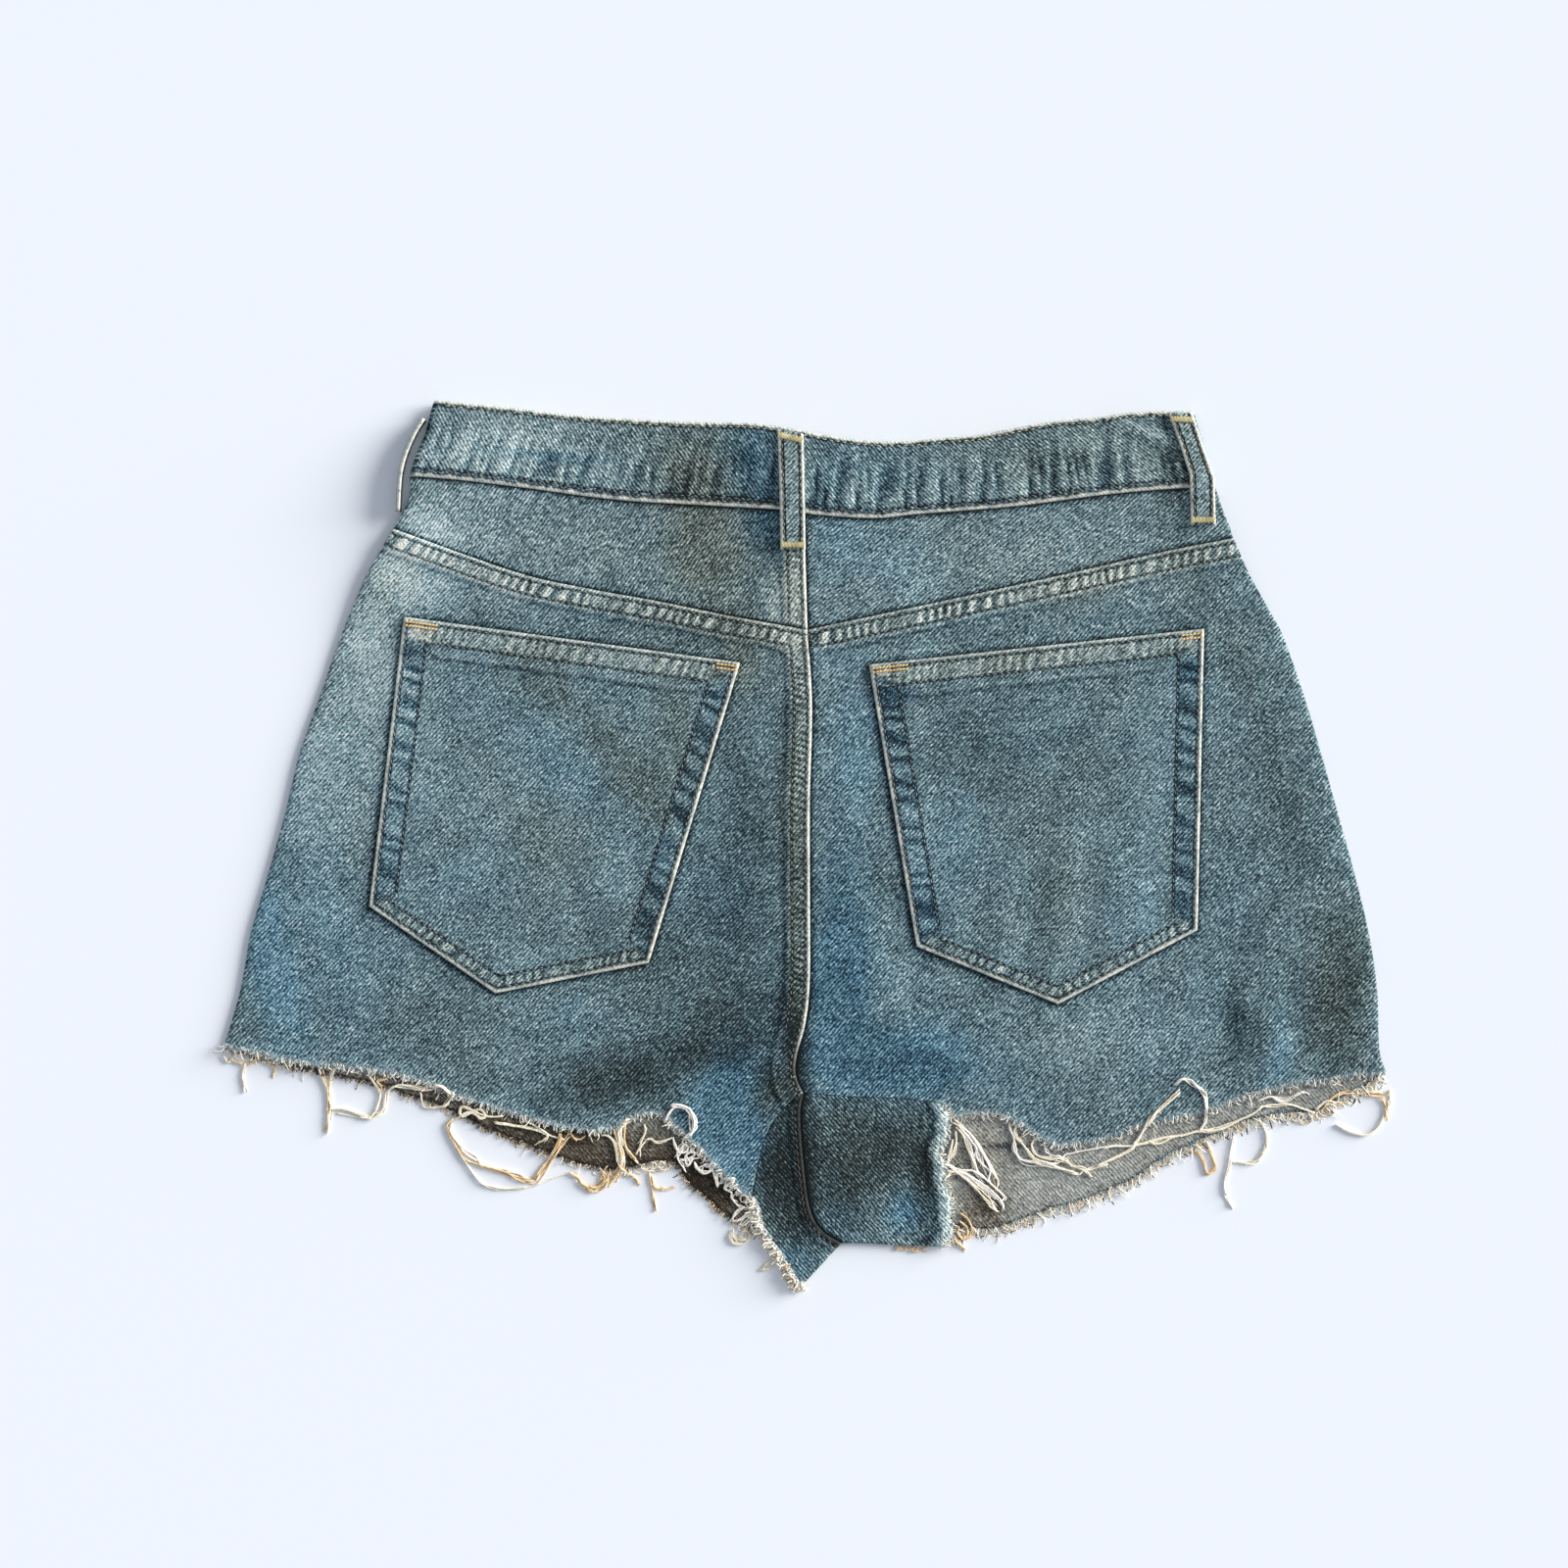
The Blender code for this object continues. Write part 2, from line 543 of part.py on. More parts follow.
def build_pocket(side, loop, mouth, flat, triangles):
    """A patch pocket from the panel's own points, moved out, with a thicker hem along its mouth."""
    patch, patch_triangles = part_of(flat, triangles, loop[:-1])

    def under(x, y):
        return back_upper(x, y) + GAP

    def upper(x, y):
        below_mouth = nearest(mouth, Vector((x, y)))[0]
        hem = 1 - smooth_step(MOUTH_DEPTH, MOUTH_DEPTH + FELL_SLOPE, below_mouth)
        return under(x, y) + CLOTH + MOUTH_RISE * hem

    build_wall("back_pocket_" + side, patch, patch_triangles, under, upper, "denim")


def build_yokes():
    left = closed_outline(edge(SIDE_LEFT_YOKE), edge(YOKE_SEAM_LEFT), edge(SEAT_SEAM_YOKE)[::-1],
                          edge(WAIST_SEAM_LEFT)[::-1])
    right = closed_outline(edge(SEAT_SEAM_YOKE), edge(YOKE_SEAM_RIGHT), edge(SIDE_RIGHT_YOKE)[::-1],
                           edge(WAIST_SEAM_RIGHT)[::-1])
    seat = fell_lines(edge(SEAT_SEAM_YOKE), FELL_WIDTH)
    for name, outline, lines in (("yoke_left", left, seat), ("yoke_right", right, [])):
        flat, triangles = triangulate(offset_outline(outline, GAP / 2), lines, FINE)
        build_wall(name, flat, triangles, back_under, back_upper, "denim")


def build_turnups():
    """Inner thighs of the two front panels, folded up over the back at the crotch."""
    left = closed_outline(edge(INSEAM_LEFT), edge(HEM_TURNUP_LEFT), edge(FOLD_LEFT),
                          edge(RISE_SEAM)[::-1])
    right = closed_outline(edge(RISE_SEAM), edge(FOLD_RIGHT), edge(HEM_TURNUP_RIGHT),
                           edge(INSEAM_RIGHT)[::-1])
    rise = fell_lines(edge(RISE_SEAM), RISE_FELL_WIDTH)
    for name, outline, lines in (("front_turnup_left", left, rise), ("front_turnup_right", right, [])):
        flat, triangles = triangulate(offset_outline(outline, GAP / 2), lines, FINE)
        build_wall(name, flat, triangles, back_under, back_upper, "denim")


# ---------------------------------------------------------------- front

def build_front_panels():
    left = closed_outline(edge(SIDE_LEFT_YOKE), edge(SIDE_LEFT_PANEL), edge(HEM_FRONT_LEFT), edge(FOLD_LEFT),
                          edge(FRONT_CENTRE), edge(WAIST_SEAM_LEFT)[::-1])
    right = closed_outline(edge(FRONT_CENTRE)[::-1], edge(FOLD_RIGHT), edge(HEM_FRONT_RIGHT),
                           edge(SIDE_RIGHT_PANEL)[::-1], edge(SIDE_RIGHT_YOKE)[::-1],
                           edge(WAIST_SEAM_RIGHT)[::-1])
    for name, outline in (("front_panel_left", left), ("front_panel_right", right)):
        ramp = [level_line(outline, y) for y in RAMP_LINES]
        flat, triangles = triangulate(offset_outline(outline, GAP / 2), ramp, COARSE)
        build_wall(name, flat, triangles, front_under, front_upper, "denim_inside")


def level_line(outline, y):
    """A line across a piece at one height on the page, to carry the rise towards the waist."""
    low = min(p.x for p in outline)
    high = max(p.x for p in outline)
    return straight_edges([(low, y), (high, y)], RAMP_STEP)


def build_fly():
    shield = straight_edges(FLY_SHIELD + FLY_SHIELD[:1], EDGE_STEP)[:-1]
    tape = straight_edges(FLY_ZIP + FLY_ZIP[:1], EDGE_STEP)[:-1]

    def under(x, y):
        return front_upper(x, y) + GAP

    pieces = (("fly_shield", shield, CLOTH, "denim_inside"), ("fly_zip", tape, ZIP_WALL, "zip_tape"))
    for name, outline, wall, finish in pieces:
        ramp = [level_line(outline, y) for y in RAMP_LINES]
        flat, triangles = triangulate(outline, ramp, COARSE)
        build_wall(name, flat, triangles, under, lambda x, y, wall=wall: under(x, y) + wall, finish)


def build_button():
    """A turned button: broad head on the floor, shank up to the band."""
    vertices = []
    faces = []
    for radius, height in BUTTON_PROFILE:
        for side in range(BUTTON_SIDES):
            angle = 2 * math.pi * side / BUTTON_SIDES
            x = BUTTON_AT[0] + radius * math.cos(angle)
            y = BUTTON_AT[1] + radius * math.sin(angle)
            vertices.append((x, y, height))
    for ring in range(len(BUTTON_PROFILE) - 1):
        for side in range(BUTTON_SIDES):
            here = ring * BUTTON_SIDES + side
            beyond = ring * BUTTON_SIDES + (side + 1) % BUTTON_SIDES
            faces.append((here, beyond, beyond + BUTTON_SIDES, here + BUTTON_SIDES))
    last = (len(BUTTON_PROFILE) - 1) * BUTTON_SIDES
    faces.append(tuple(range(BUTTON_SIDES))[::-1])
    faces.append(tuple(range(last, last + BUTTON_SIDES)))
    build_solid("waist_button", vertices, faces, "button_metal")


# ---------------------------------------------------------------- waistband and belt loops

def band_under(x, y):
    return front_under(x, y) + BAND_WALL + BAND_GAP + fold_height(BAND_FOLDS, x, y)


def band_upper(x, y):
    return band_under(x, y) + BAND_WALL


def build_waistband():
    """A double strip that runs from the centre front round the back and ends there again."""
    above_seam = Vector((0, GAP / 2))
    low = [p + above_seam for p in WAIST_LINE]
    high = smooth_curve(WAIST_TOP, LINE_STEP)
    fold = BAND_WALL + BAND_GAP / 2
    width = (low[-1] - low[0]).length
    inset = fold / width
    across = [inset + (1 - 2 * inset) * index / BAND_COLUMNS for index in range(BAND_COLUMNS + 1)]
    run = [("front", BAND_ENDS_AT + GAP / width)]
    run += [("front", s) for s in across if s > BAND_ENDS_AT + BAND_ENDS_CLEAR]
    run += [("right", angle) for angle in BAND_TURN]
    run += [("back", s) for s in across[::-1]]
    run += [("left", angle) for angle in BAND_TURN[::-1]]
    run += [("front", s) for s in across if s < BAND_ENDS_AT - BAND_ENDS_CLEAR]
    run += [("front", BAND_ENDS_AT)]
    vertices = []
    for row in range(BAND_ROWS + 1):
        height_share = row / BAND_ROWS
        outside = []
        inside = []
        for part, value in run:
            share = {"left": inset, "right": 1 - inset}.get(part, value)
            place = along_curve(low, share).lerp(along_curve(high, share), height_share)
            front_middle = front_under(place.x, place.y) + BAND_WALL / 2
            back_middle = band_under(place.x, place.y) + BAND_WALL / 2
            if part == "front":
                outside.append((place.x, place.y, front_middle - BAND_WALL / 2))
                inside.append((place.x, place.y, front_middle + BAND_WALL / 2))
            elif part == "back":
                outside.append((place.x, place.y, back_middle + BAND_WALL / 2))
                inside.append((place.x, place.y, back_middle - BAND_WALL / 2))
            else:
                turn = math.radians(value)
                side = 1 if part == "right" else -1
                middle = (front_middle + back_middle) / 2
                bend = (back_middle - front_middle) / 2
                for ring, radius in ((outside, bend + BAND_WALL / 2), (inside, bend - BAND_WALL / 2)):
                    ring.append((place.x + side * radius * math.cos(turn), place.y,
                                 middle + radius * math.sin(turn)))
        vertices += outside + inside
    columns = len(run)
    faces = []
    for row in range(BAND_ROWS):
        low_out = row * 2 * columns
        low_in = low_out + columns
        high_out = low_out + 2 * columns
        high_in = high_out + columns
        for column in range(columns - 1):
            after = column + 1
            faces.append((low_out + column, high_out + column, high_out + after, low_out + after))
            faces.append((low_in + column, low_in + after, high_in + after, high_in + column))
        faces.append((low_out, low_in, high_in, high_out))
        end = columns - 1
        faces.append((low_out + end, high_out + end, high_in + end, low_in + end))
    top_out = BAND_ROWS * 2 * columns
    for column in range(columns - 1):
        after = column + 1
        faces.append((column, after, columns + after, columns + column))
        top_in = top_out + columns
        faces.append((top_out + column, top_in + column, top_in + after, top_out + after))
    build_solid("waistband", vertices, faces, "denim")


def build_flat_loop(name, corners):
    """A strip over the band that steps down to the yoke below it."""
    outline = straight_edges(corners + corners[:1], LOOP_SPACING)[:-1]
    seam_y = y_at(WAIST_LINE, sum(x for x, _ in corners) / len(corners))
    step_from = seam_y - LOOP_STEP[0]
    step_to = seam_y - LOOP_STEP[1]

    def under(x, y):
        on_yoke = back_under(x, y) + CLOTH + FELL_RISE
        on_band = max(on_yoke, band_upper(x, y)) if y < seam_y else band_upper(x, y)
        share = smooth_step(step_from, step_to, y)
        return on_yoke + (on_band - on_yoke) * share + LOOP_GAP

    low = min(x for x, _ in corners) - 1
    high = max(x for x, _ in corners) + 1
    rows = [straight_edges([(low, y), (high, y)], 3) for y in (step_from, (step_from + step_to) / 2, step_to)]
    flat, triangles = triangulate(outline, rows, LOOP_SPACING)
    build_wall(name, flat, triangles, under, lambda x, y: under(x, y) + LOOP_WALL, "denim")


def build_front_loops():
    """Two loops under the front of the band, between it and the floor."""
    for side, x in zip(("left", "right"), LOOP_FRONT_X):
        top = y_at(smooth_curve(WAIST_TOP, LINE_STEP), x) - LOOP_TOP_INSET
        bottom = y_at(WAIST_LINE, x) - LOOP_BELOW_BAND
        half = LOOP_WIDTH / 2
        corners = [(x - half, top), (x - half, bottom), (x + half, bottom), (x + half, top)]
        outline = straight_edges(corners + corners[:1], RAMP_STEP)[:-1]
        flat, triangles = triangulate(outline, [], COARSE)
        build_wall("belt_loop_front_" + side, flat, triangles, lambda x, y: 0.0,
                   lambda x, y: WAIST_RAISE - GAP, "denim")


def build_side_loop():
    """The left loop sits on the fold of the band and shows its edge, so its strip stands upright."""
    route = smooth_curve(LOOP_LEFT_ROUTE, LOOP_SPACING / 3)
    sides = (beside(route, -LOOP_WALL / 2), beside(route, LOOP_WALL / 2))
    count = len(route)
    vertices = []
    for height in LOOP_LEFT_HEIGHTS:
        for side in sides:
            vertices += [(p.x, p.y, height) for p in side]
    inner_low, outer_low, inner_high, outer_high = (index * count for index in range(4))
    faces = []
    for index in range(count - 1):
        after = index + 1
        faces.append((inner_low + index, inner_high + index, inner_high + after, inner_low + after))
        faces.append((outer_low + index, outer_low + after, outer_high + after, outer_high + index))
        faces.append((inner_low + index, inner_low + after, outer_low + after, outer_low + index))
        faces.append((inner_high + index, outer_high + index, outer_high + after, inner_high + after))
    end = count - 1
    faces.append((inner_low, outer_low, outer_high, inner_high))
    faces.append((inner_low + end, inner_high + end, outer_high + end, outer_low + end))
    build_solid("belt_loop_left", vertices, faces, "denim")


# ---------------------------------------------------------------- frayed edges

def strand_sides(route):
    """Both sides of a strand that narrows to its tip."""
    right = []
    left = []
    for index, point in enumerate(route):
        share = index / (len(route) - 1)
        half = (STRAND_WIDTH + (STRAND_TIP - STRAND_WIDTH) * share) / 2
        along = route[min(index + 1, len(route) - 1)] - route[max(index - 1, 0)]
        along.normalize()
        across = Vector((along.y, -along.x))
        right.append(point + across * half)
        left.append(point - across * half)
    return right, left


def fray_outline(strip_inner, strip_outer, strands):
    """A comb: the strip's outer line with each strand let into it, and back along the inner line.

    strands holds (share along the outer line, route away from it), in any order.
    """
    steps = len(strip_outer) - 1
    comb = []
    walked = 0
    for share, route in sorted(strands, key=lambda strand: strand[0]):
        root = share * steps
        while walked <= min(steps, root - 0.5):
            comb.append(strip_outer[walked])
            walked += 1
        right, left = strand_sides(route)
        comb += right + left[::-1]
        walked = max(walked, math.ceil(root + 0.5))
    comb += strip_outer[walked:]
    return comb + strip_inner[::-1]


def build_fray(name, hem, start, end, layer, seed):
    """Short strands at uneven lengths along a raw hem, and the few long ones that hang from it."""
    chance = random.Random(seed)
    full = straight_edges(edge(hem), FRAY_STEP)
    last = len(full) - 1
    line = full[int(start * last):int(end * last) + 1]
    outer = beside(line, GAP / 2 + FRAY_STRIP)
    step = sum((b - a).length for a, b in zip(outer, outer[1:])) / (len(outer) - 1)
    strands = []
    routes = []
    for points in LONG_STRANDS.get(name, ()):
        share = nearest(outer, Vector(points[0]))[1]
        route = smooth_curve([tuple(along_curve(outer, share))] + points[1:], LONG_STRAND_STEP)
        strands.append((share, route))
        routes.append(route)
    place = FRAY_PITCH / 2
    while place < step * (len(outer) - 3):
        share = place / (step * (len(outer) - 1))
        root = along_curve(outer, share)
        along = (along_curve(outer, share + 0.01) - along_curve(outer, share - 0.01)).normalized()
        out = Vector((along.y, -along.x))
        lean = along * chance.uniform(-STRAND_LEAN, STRAND_LEAN)
        tip = root + (out + lean) * chance.uniform(*FRAY_LENGTH)
        if all(nearest(route, p)[0] > STRAND_APART for route in routes for p in (root, tip)):
            strands.append((share, [root, tip]))
        place += FRAY_PITCH * chance.uniform(0.8, 1.2)
    comb = fray_outline(corners_only(beside(line, GAP / 2)), outer, strands)
    build_comb(name, comb, layer)


def build_comb(name, comb, layer):
    flat, triangles = triangulate(comb, [], NO_INNER_POINTS)
    under = back_under if layer == "back" else lambda x, y: FRAY_FLOOR
    build_wall(name, flat, triangles, under, lambda x, y: under(x, y) + FRAY_WALL, "fray_thread")


# ---------------------------------------------------------------- the garment

for old in list(bpy.data.objects):
    bpy.data.objects.remove(old, do_unlink=True)

build_front_panels()
build_fly()
build_button()
build_back_panels()
build_yokes()
build_turnups()
build_waistband()
build_flat_loop("belt_loop_back", LOOP_BACK)
build_flat_loop("belt_loop_right", LOOP_RIGHT)
build_side_loop()
build_front_loops()
for row in FRAYS:
    build_fray(*row)
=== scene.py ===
"""Cut-off denim shorts, laid flat on their front with the back uppermost.

Tables and heights are in millimetres. +X runs to the wearer's right, +Y to the waist and +Z up.
"""
import math
import random

import bmesh
import bpy
import numpy as np
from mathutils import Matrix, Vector
from mathutils.bvhtree import BVHTree
from mathutils.geometry import delaunay_2d_cdt
from mathutils.kdtree import KDTree


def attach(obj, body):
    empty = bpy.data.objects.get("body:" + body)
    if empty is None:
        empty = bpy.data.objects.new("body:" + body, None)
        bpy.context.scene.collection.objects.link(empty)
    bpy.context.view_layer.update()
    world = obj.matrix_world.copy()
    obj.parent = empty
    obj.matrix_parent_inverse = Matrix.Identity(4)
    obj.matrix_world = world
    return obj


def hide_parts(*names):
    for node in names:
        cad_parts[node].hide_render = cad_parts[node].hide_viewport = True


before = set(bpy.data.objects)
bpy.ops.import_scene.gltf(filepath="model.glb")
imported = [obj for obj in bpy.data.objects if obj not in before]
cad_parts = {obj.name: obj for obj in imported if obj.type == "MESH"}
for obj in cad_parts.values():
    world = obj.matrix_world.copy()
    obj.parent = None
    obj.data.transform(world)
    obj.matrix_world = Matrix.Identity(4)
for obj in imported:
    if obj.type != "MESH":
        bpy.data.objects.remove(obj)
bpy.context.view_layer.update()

scene = bpy.context.scene


# ---------------------------------------------------------------- table, light and camera
# The shorts lie on a pale blue-white table top, lit by one broad soft light from the right and by pale
# walls all round, and are seen from straight above.

TABLE_COLOUR = (237, 241, 248)
TABLE_SIDE = 12.0               # metres
WALL_COLOUR = (236, 244, 255)
WALL_LIGHT = 0.5
WINDOW_COLOUR = (255, 252, 247)
WINDOW_LIGHT = 7.3
WINDOW_ANGLE = 38               # degrees that the light spreads over
WINDOW_TURN = 24                # degrees from +X towards the waist
WINDOW_HEIGHT = 15              # degrees above the table
CAMERA_LENS = 85                # millimetres, on a 36 mm sensor
CAMERA_HEIGHT = 1.705           # metres
CAMERA_PLACE = (-0.0099, 0.0297)


def screen_colour(red, green, blue):
    """A colour given as 0 to 255 screen values, in the shader's own linear values."""
    shares = [value / 255 for value in (red, green, blue)]
    return (*[s / 12.92 if s <= 0.04045 else ((s + 0.055) / 1.055) ** 2.4 for s in shares], 1.0)


def new_object(name, data):
    made = bpy.data.objects.new(name, data)
    scene.collection.objects.link(made)
    return made


def new_finish(name, **values):
    """A material and its shader, whose values are given by socket name with _ for a space."""
    made = bpy.data.materials.new(name)
    made.use_nodes = True
    shader = made.node_tree.nodes["Principled BSDF"]
    for key, value in values.items():
        shader.inputs[key.replace("_", " ")].default_value = value
    return made, shader


scene.view_settings.view_transform = "Standard"
walls = bpy.data.worlds.new("pale walls")
walls.use_nodes = True
walls.node_tree.nodes["Background"].inputs["Color"].default_value = screen_colour(*WALL_COLOUR)
walls.node_tree.nodes["Background"].inputs["Strength"].default_value = WALL_LIGHT
scene.world = walls

window = bpy.data.lights.new("window", "SUN")
window.energy = WINDOW_LIGHT
window.angle = math.radians(WINDOW_ANGLE)
window.color = screen_colour(*WINDOW_COLOUR)[:3]
window_turn = math.radians(WINDOW_TURN)
toward_window = Vector((math.cos(window_turn), math.sin(window_turn), math.tan(math.radians(WINDOW_HEIGHT))))
new_object("window", window).rotation_euler = toward_window.to_track_quat("Z", "Y").to_euler()

camera = bpy.data.cameras.new("camera")
camera.lens = CAMERA_LENS
camera.sensor_width = 36
scene.camera = new_object("camera", camera)
scene.camera.location = (*CAMERA_PLACE, CAMERA_HEIGHT)

table_mesh = bpy.data.meshes.new("table_top")
table_ends = ((-1, -1), (1, -1), (1, 1), (-1, 1))
table_mesh.from_pydata([(x * TABLE_SIDE / 2, y * TABLE_SIDE / 2, 0) for x, y in table_ends], [],
                       [(0, 1, 2, 3)])
table_paint = new_finish("table paint", Base_Color=screen_colour(*TABLE_COLOUR), Roughness=0.9)[0]
table_mesh.materials.append(table_paint)
table_top = new_object("table_top", table_mesh)


# ---------------------------------------------------------------- front panels
# The two fronts of stone-washed cotton denim lie face down on the table. Their greyish reverse shows below
# the back hems. They rise a little at the waist, where the belt loops and the button hold them up.

MM = 0.001
CLOTH = 1.2                     # thickness of single denim
GAP = 0.3                       # between layers, and between pieces that meet edge to edge
WAIST_RAISE = 1.5               # of the fronts, by what they lie on
WAIST_RAISE_BETWEEN = (75, 138)
BUTTON_AT = (2, 173)
BUTTON_RAISE = 1.8              # and more round the button
BUTTON_SPREAD = 20
EDGE_STEP = 1.7                 # between points along a cut edge
FINE = 1.8                      # between points near seams and hems
COARSE = 3.0                    # elsewhere
HIDDEN = 6.0                    # where other pieces cover the cloth
RIM_ROWS = (0.14, 0.6, 1.6)     # rows of points this far in from an edge, where it rounds off
FAR_IN = 99                     # beyond the reach of any edge or seam
FIRST_ROW = 2.2                 # the first row of stitches lies this far in from a seam's edge
FELL_ROW = 8.4                  # and the second row of a felled seam
PAINTED_SHADOW_WIDTH = 1.25              # of the painted shadow line beside a seam
FUR_WIDTH = 3.2                 # of the fur along a raw edge
SIDE_TURN = 0.95                # the side seam rounds the cloth off by this much
SIDE_TURN_REACH = 3.2

SIDE_LEFT_YOKE = [(-182, 171), (-182, 162.5), (-186, 153), (-189.5, 147)]
SIDE_LEFT_PANEL = [(-189.5, 147), (-195, 137.5), (-202.5, 124), (-214, 97), (-223.5, 70), (-233, 43),
                   (-239.5, 16), (-247, -11), (-255, -38), (-260, -65), (-267.5, -91)]
SIDE_RIGHT_YOKE = [(188.5, 165.5), (192, 155), (194.5, 149), (196.5, 142.5)]
SIDE_RIGHT_PANEL = [(196.5, 142.5), (204, 126), (213, 110), (220, 97), (229.5, 70), (237.5, 43), (245, 16),
                    (252.5, -11), (259, -38), (263, -65), (264, -92), (267.5, -104)]
WAIST_SEAM_LEFT = [(-182, 171), (-158.5, 169), (-133, 166), (-87, 160), (-47, 157.5), (-12.5, 155.5),
                   (-0.5, 154)]
WAIST_SEAM_RIGHT = [(-0.5, 154), (5.5, 153), (31.5, 151.5), (52.5, 153.5), (96, 157), (139, 162.5),
                    (175, 165.5), (188.5, 165.5)]
FRONT_CENTRE = [(16.5, -181.5), (8, -120), (3, -60), (1, 50), (-0.5, 154)]
FOLD_LEFT = [(-1, -200.5), (16.5, -181.5)]
FOLD_RIGHT = [(16.5, -181.5), (26, -181.5), (44, -182.5), (63, -183)]
HEM_FRONT_LEFT = [(-267.5, -91), (-233, -101.5), (-203, -107), (-183.5, -113), (-165, -120), (-143.5, -130),
                  (-119.5, -139.5), (-101, -146), (-87.5, -147.5), (-76, -145.5), (-62, -144),
                  (-54.5, -152.5), (-38, -168), (-28, -173), (-14.5, -181), (-4.5, -195.5), (-1, -200.5)]
HEM_FRONT_RIGHT = [(63, -183), (73.5, -174.5), (80, -175.5), (93, -173), (115, -165.5), (138, -158),
                   (164, -143.5), (181, -134.5), (203, -125.5), (222.5, -122), (235, -120.5), (248, -114),
                   (267.5, -104)]
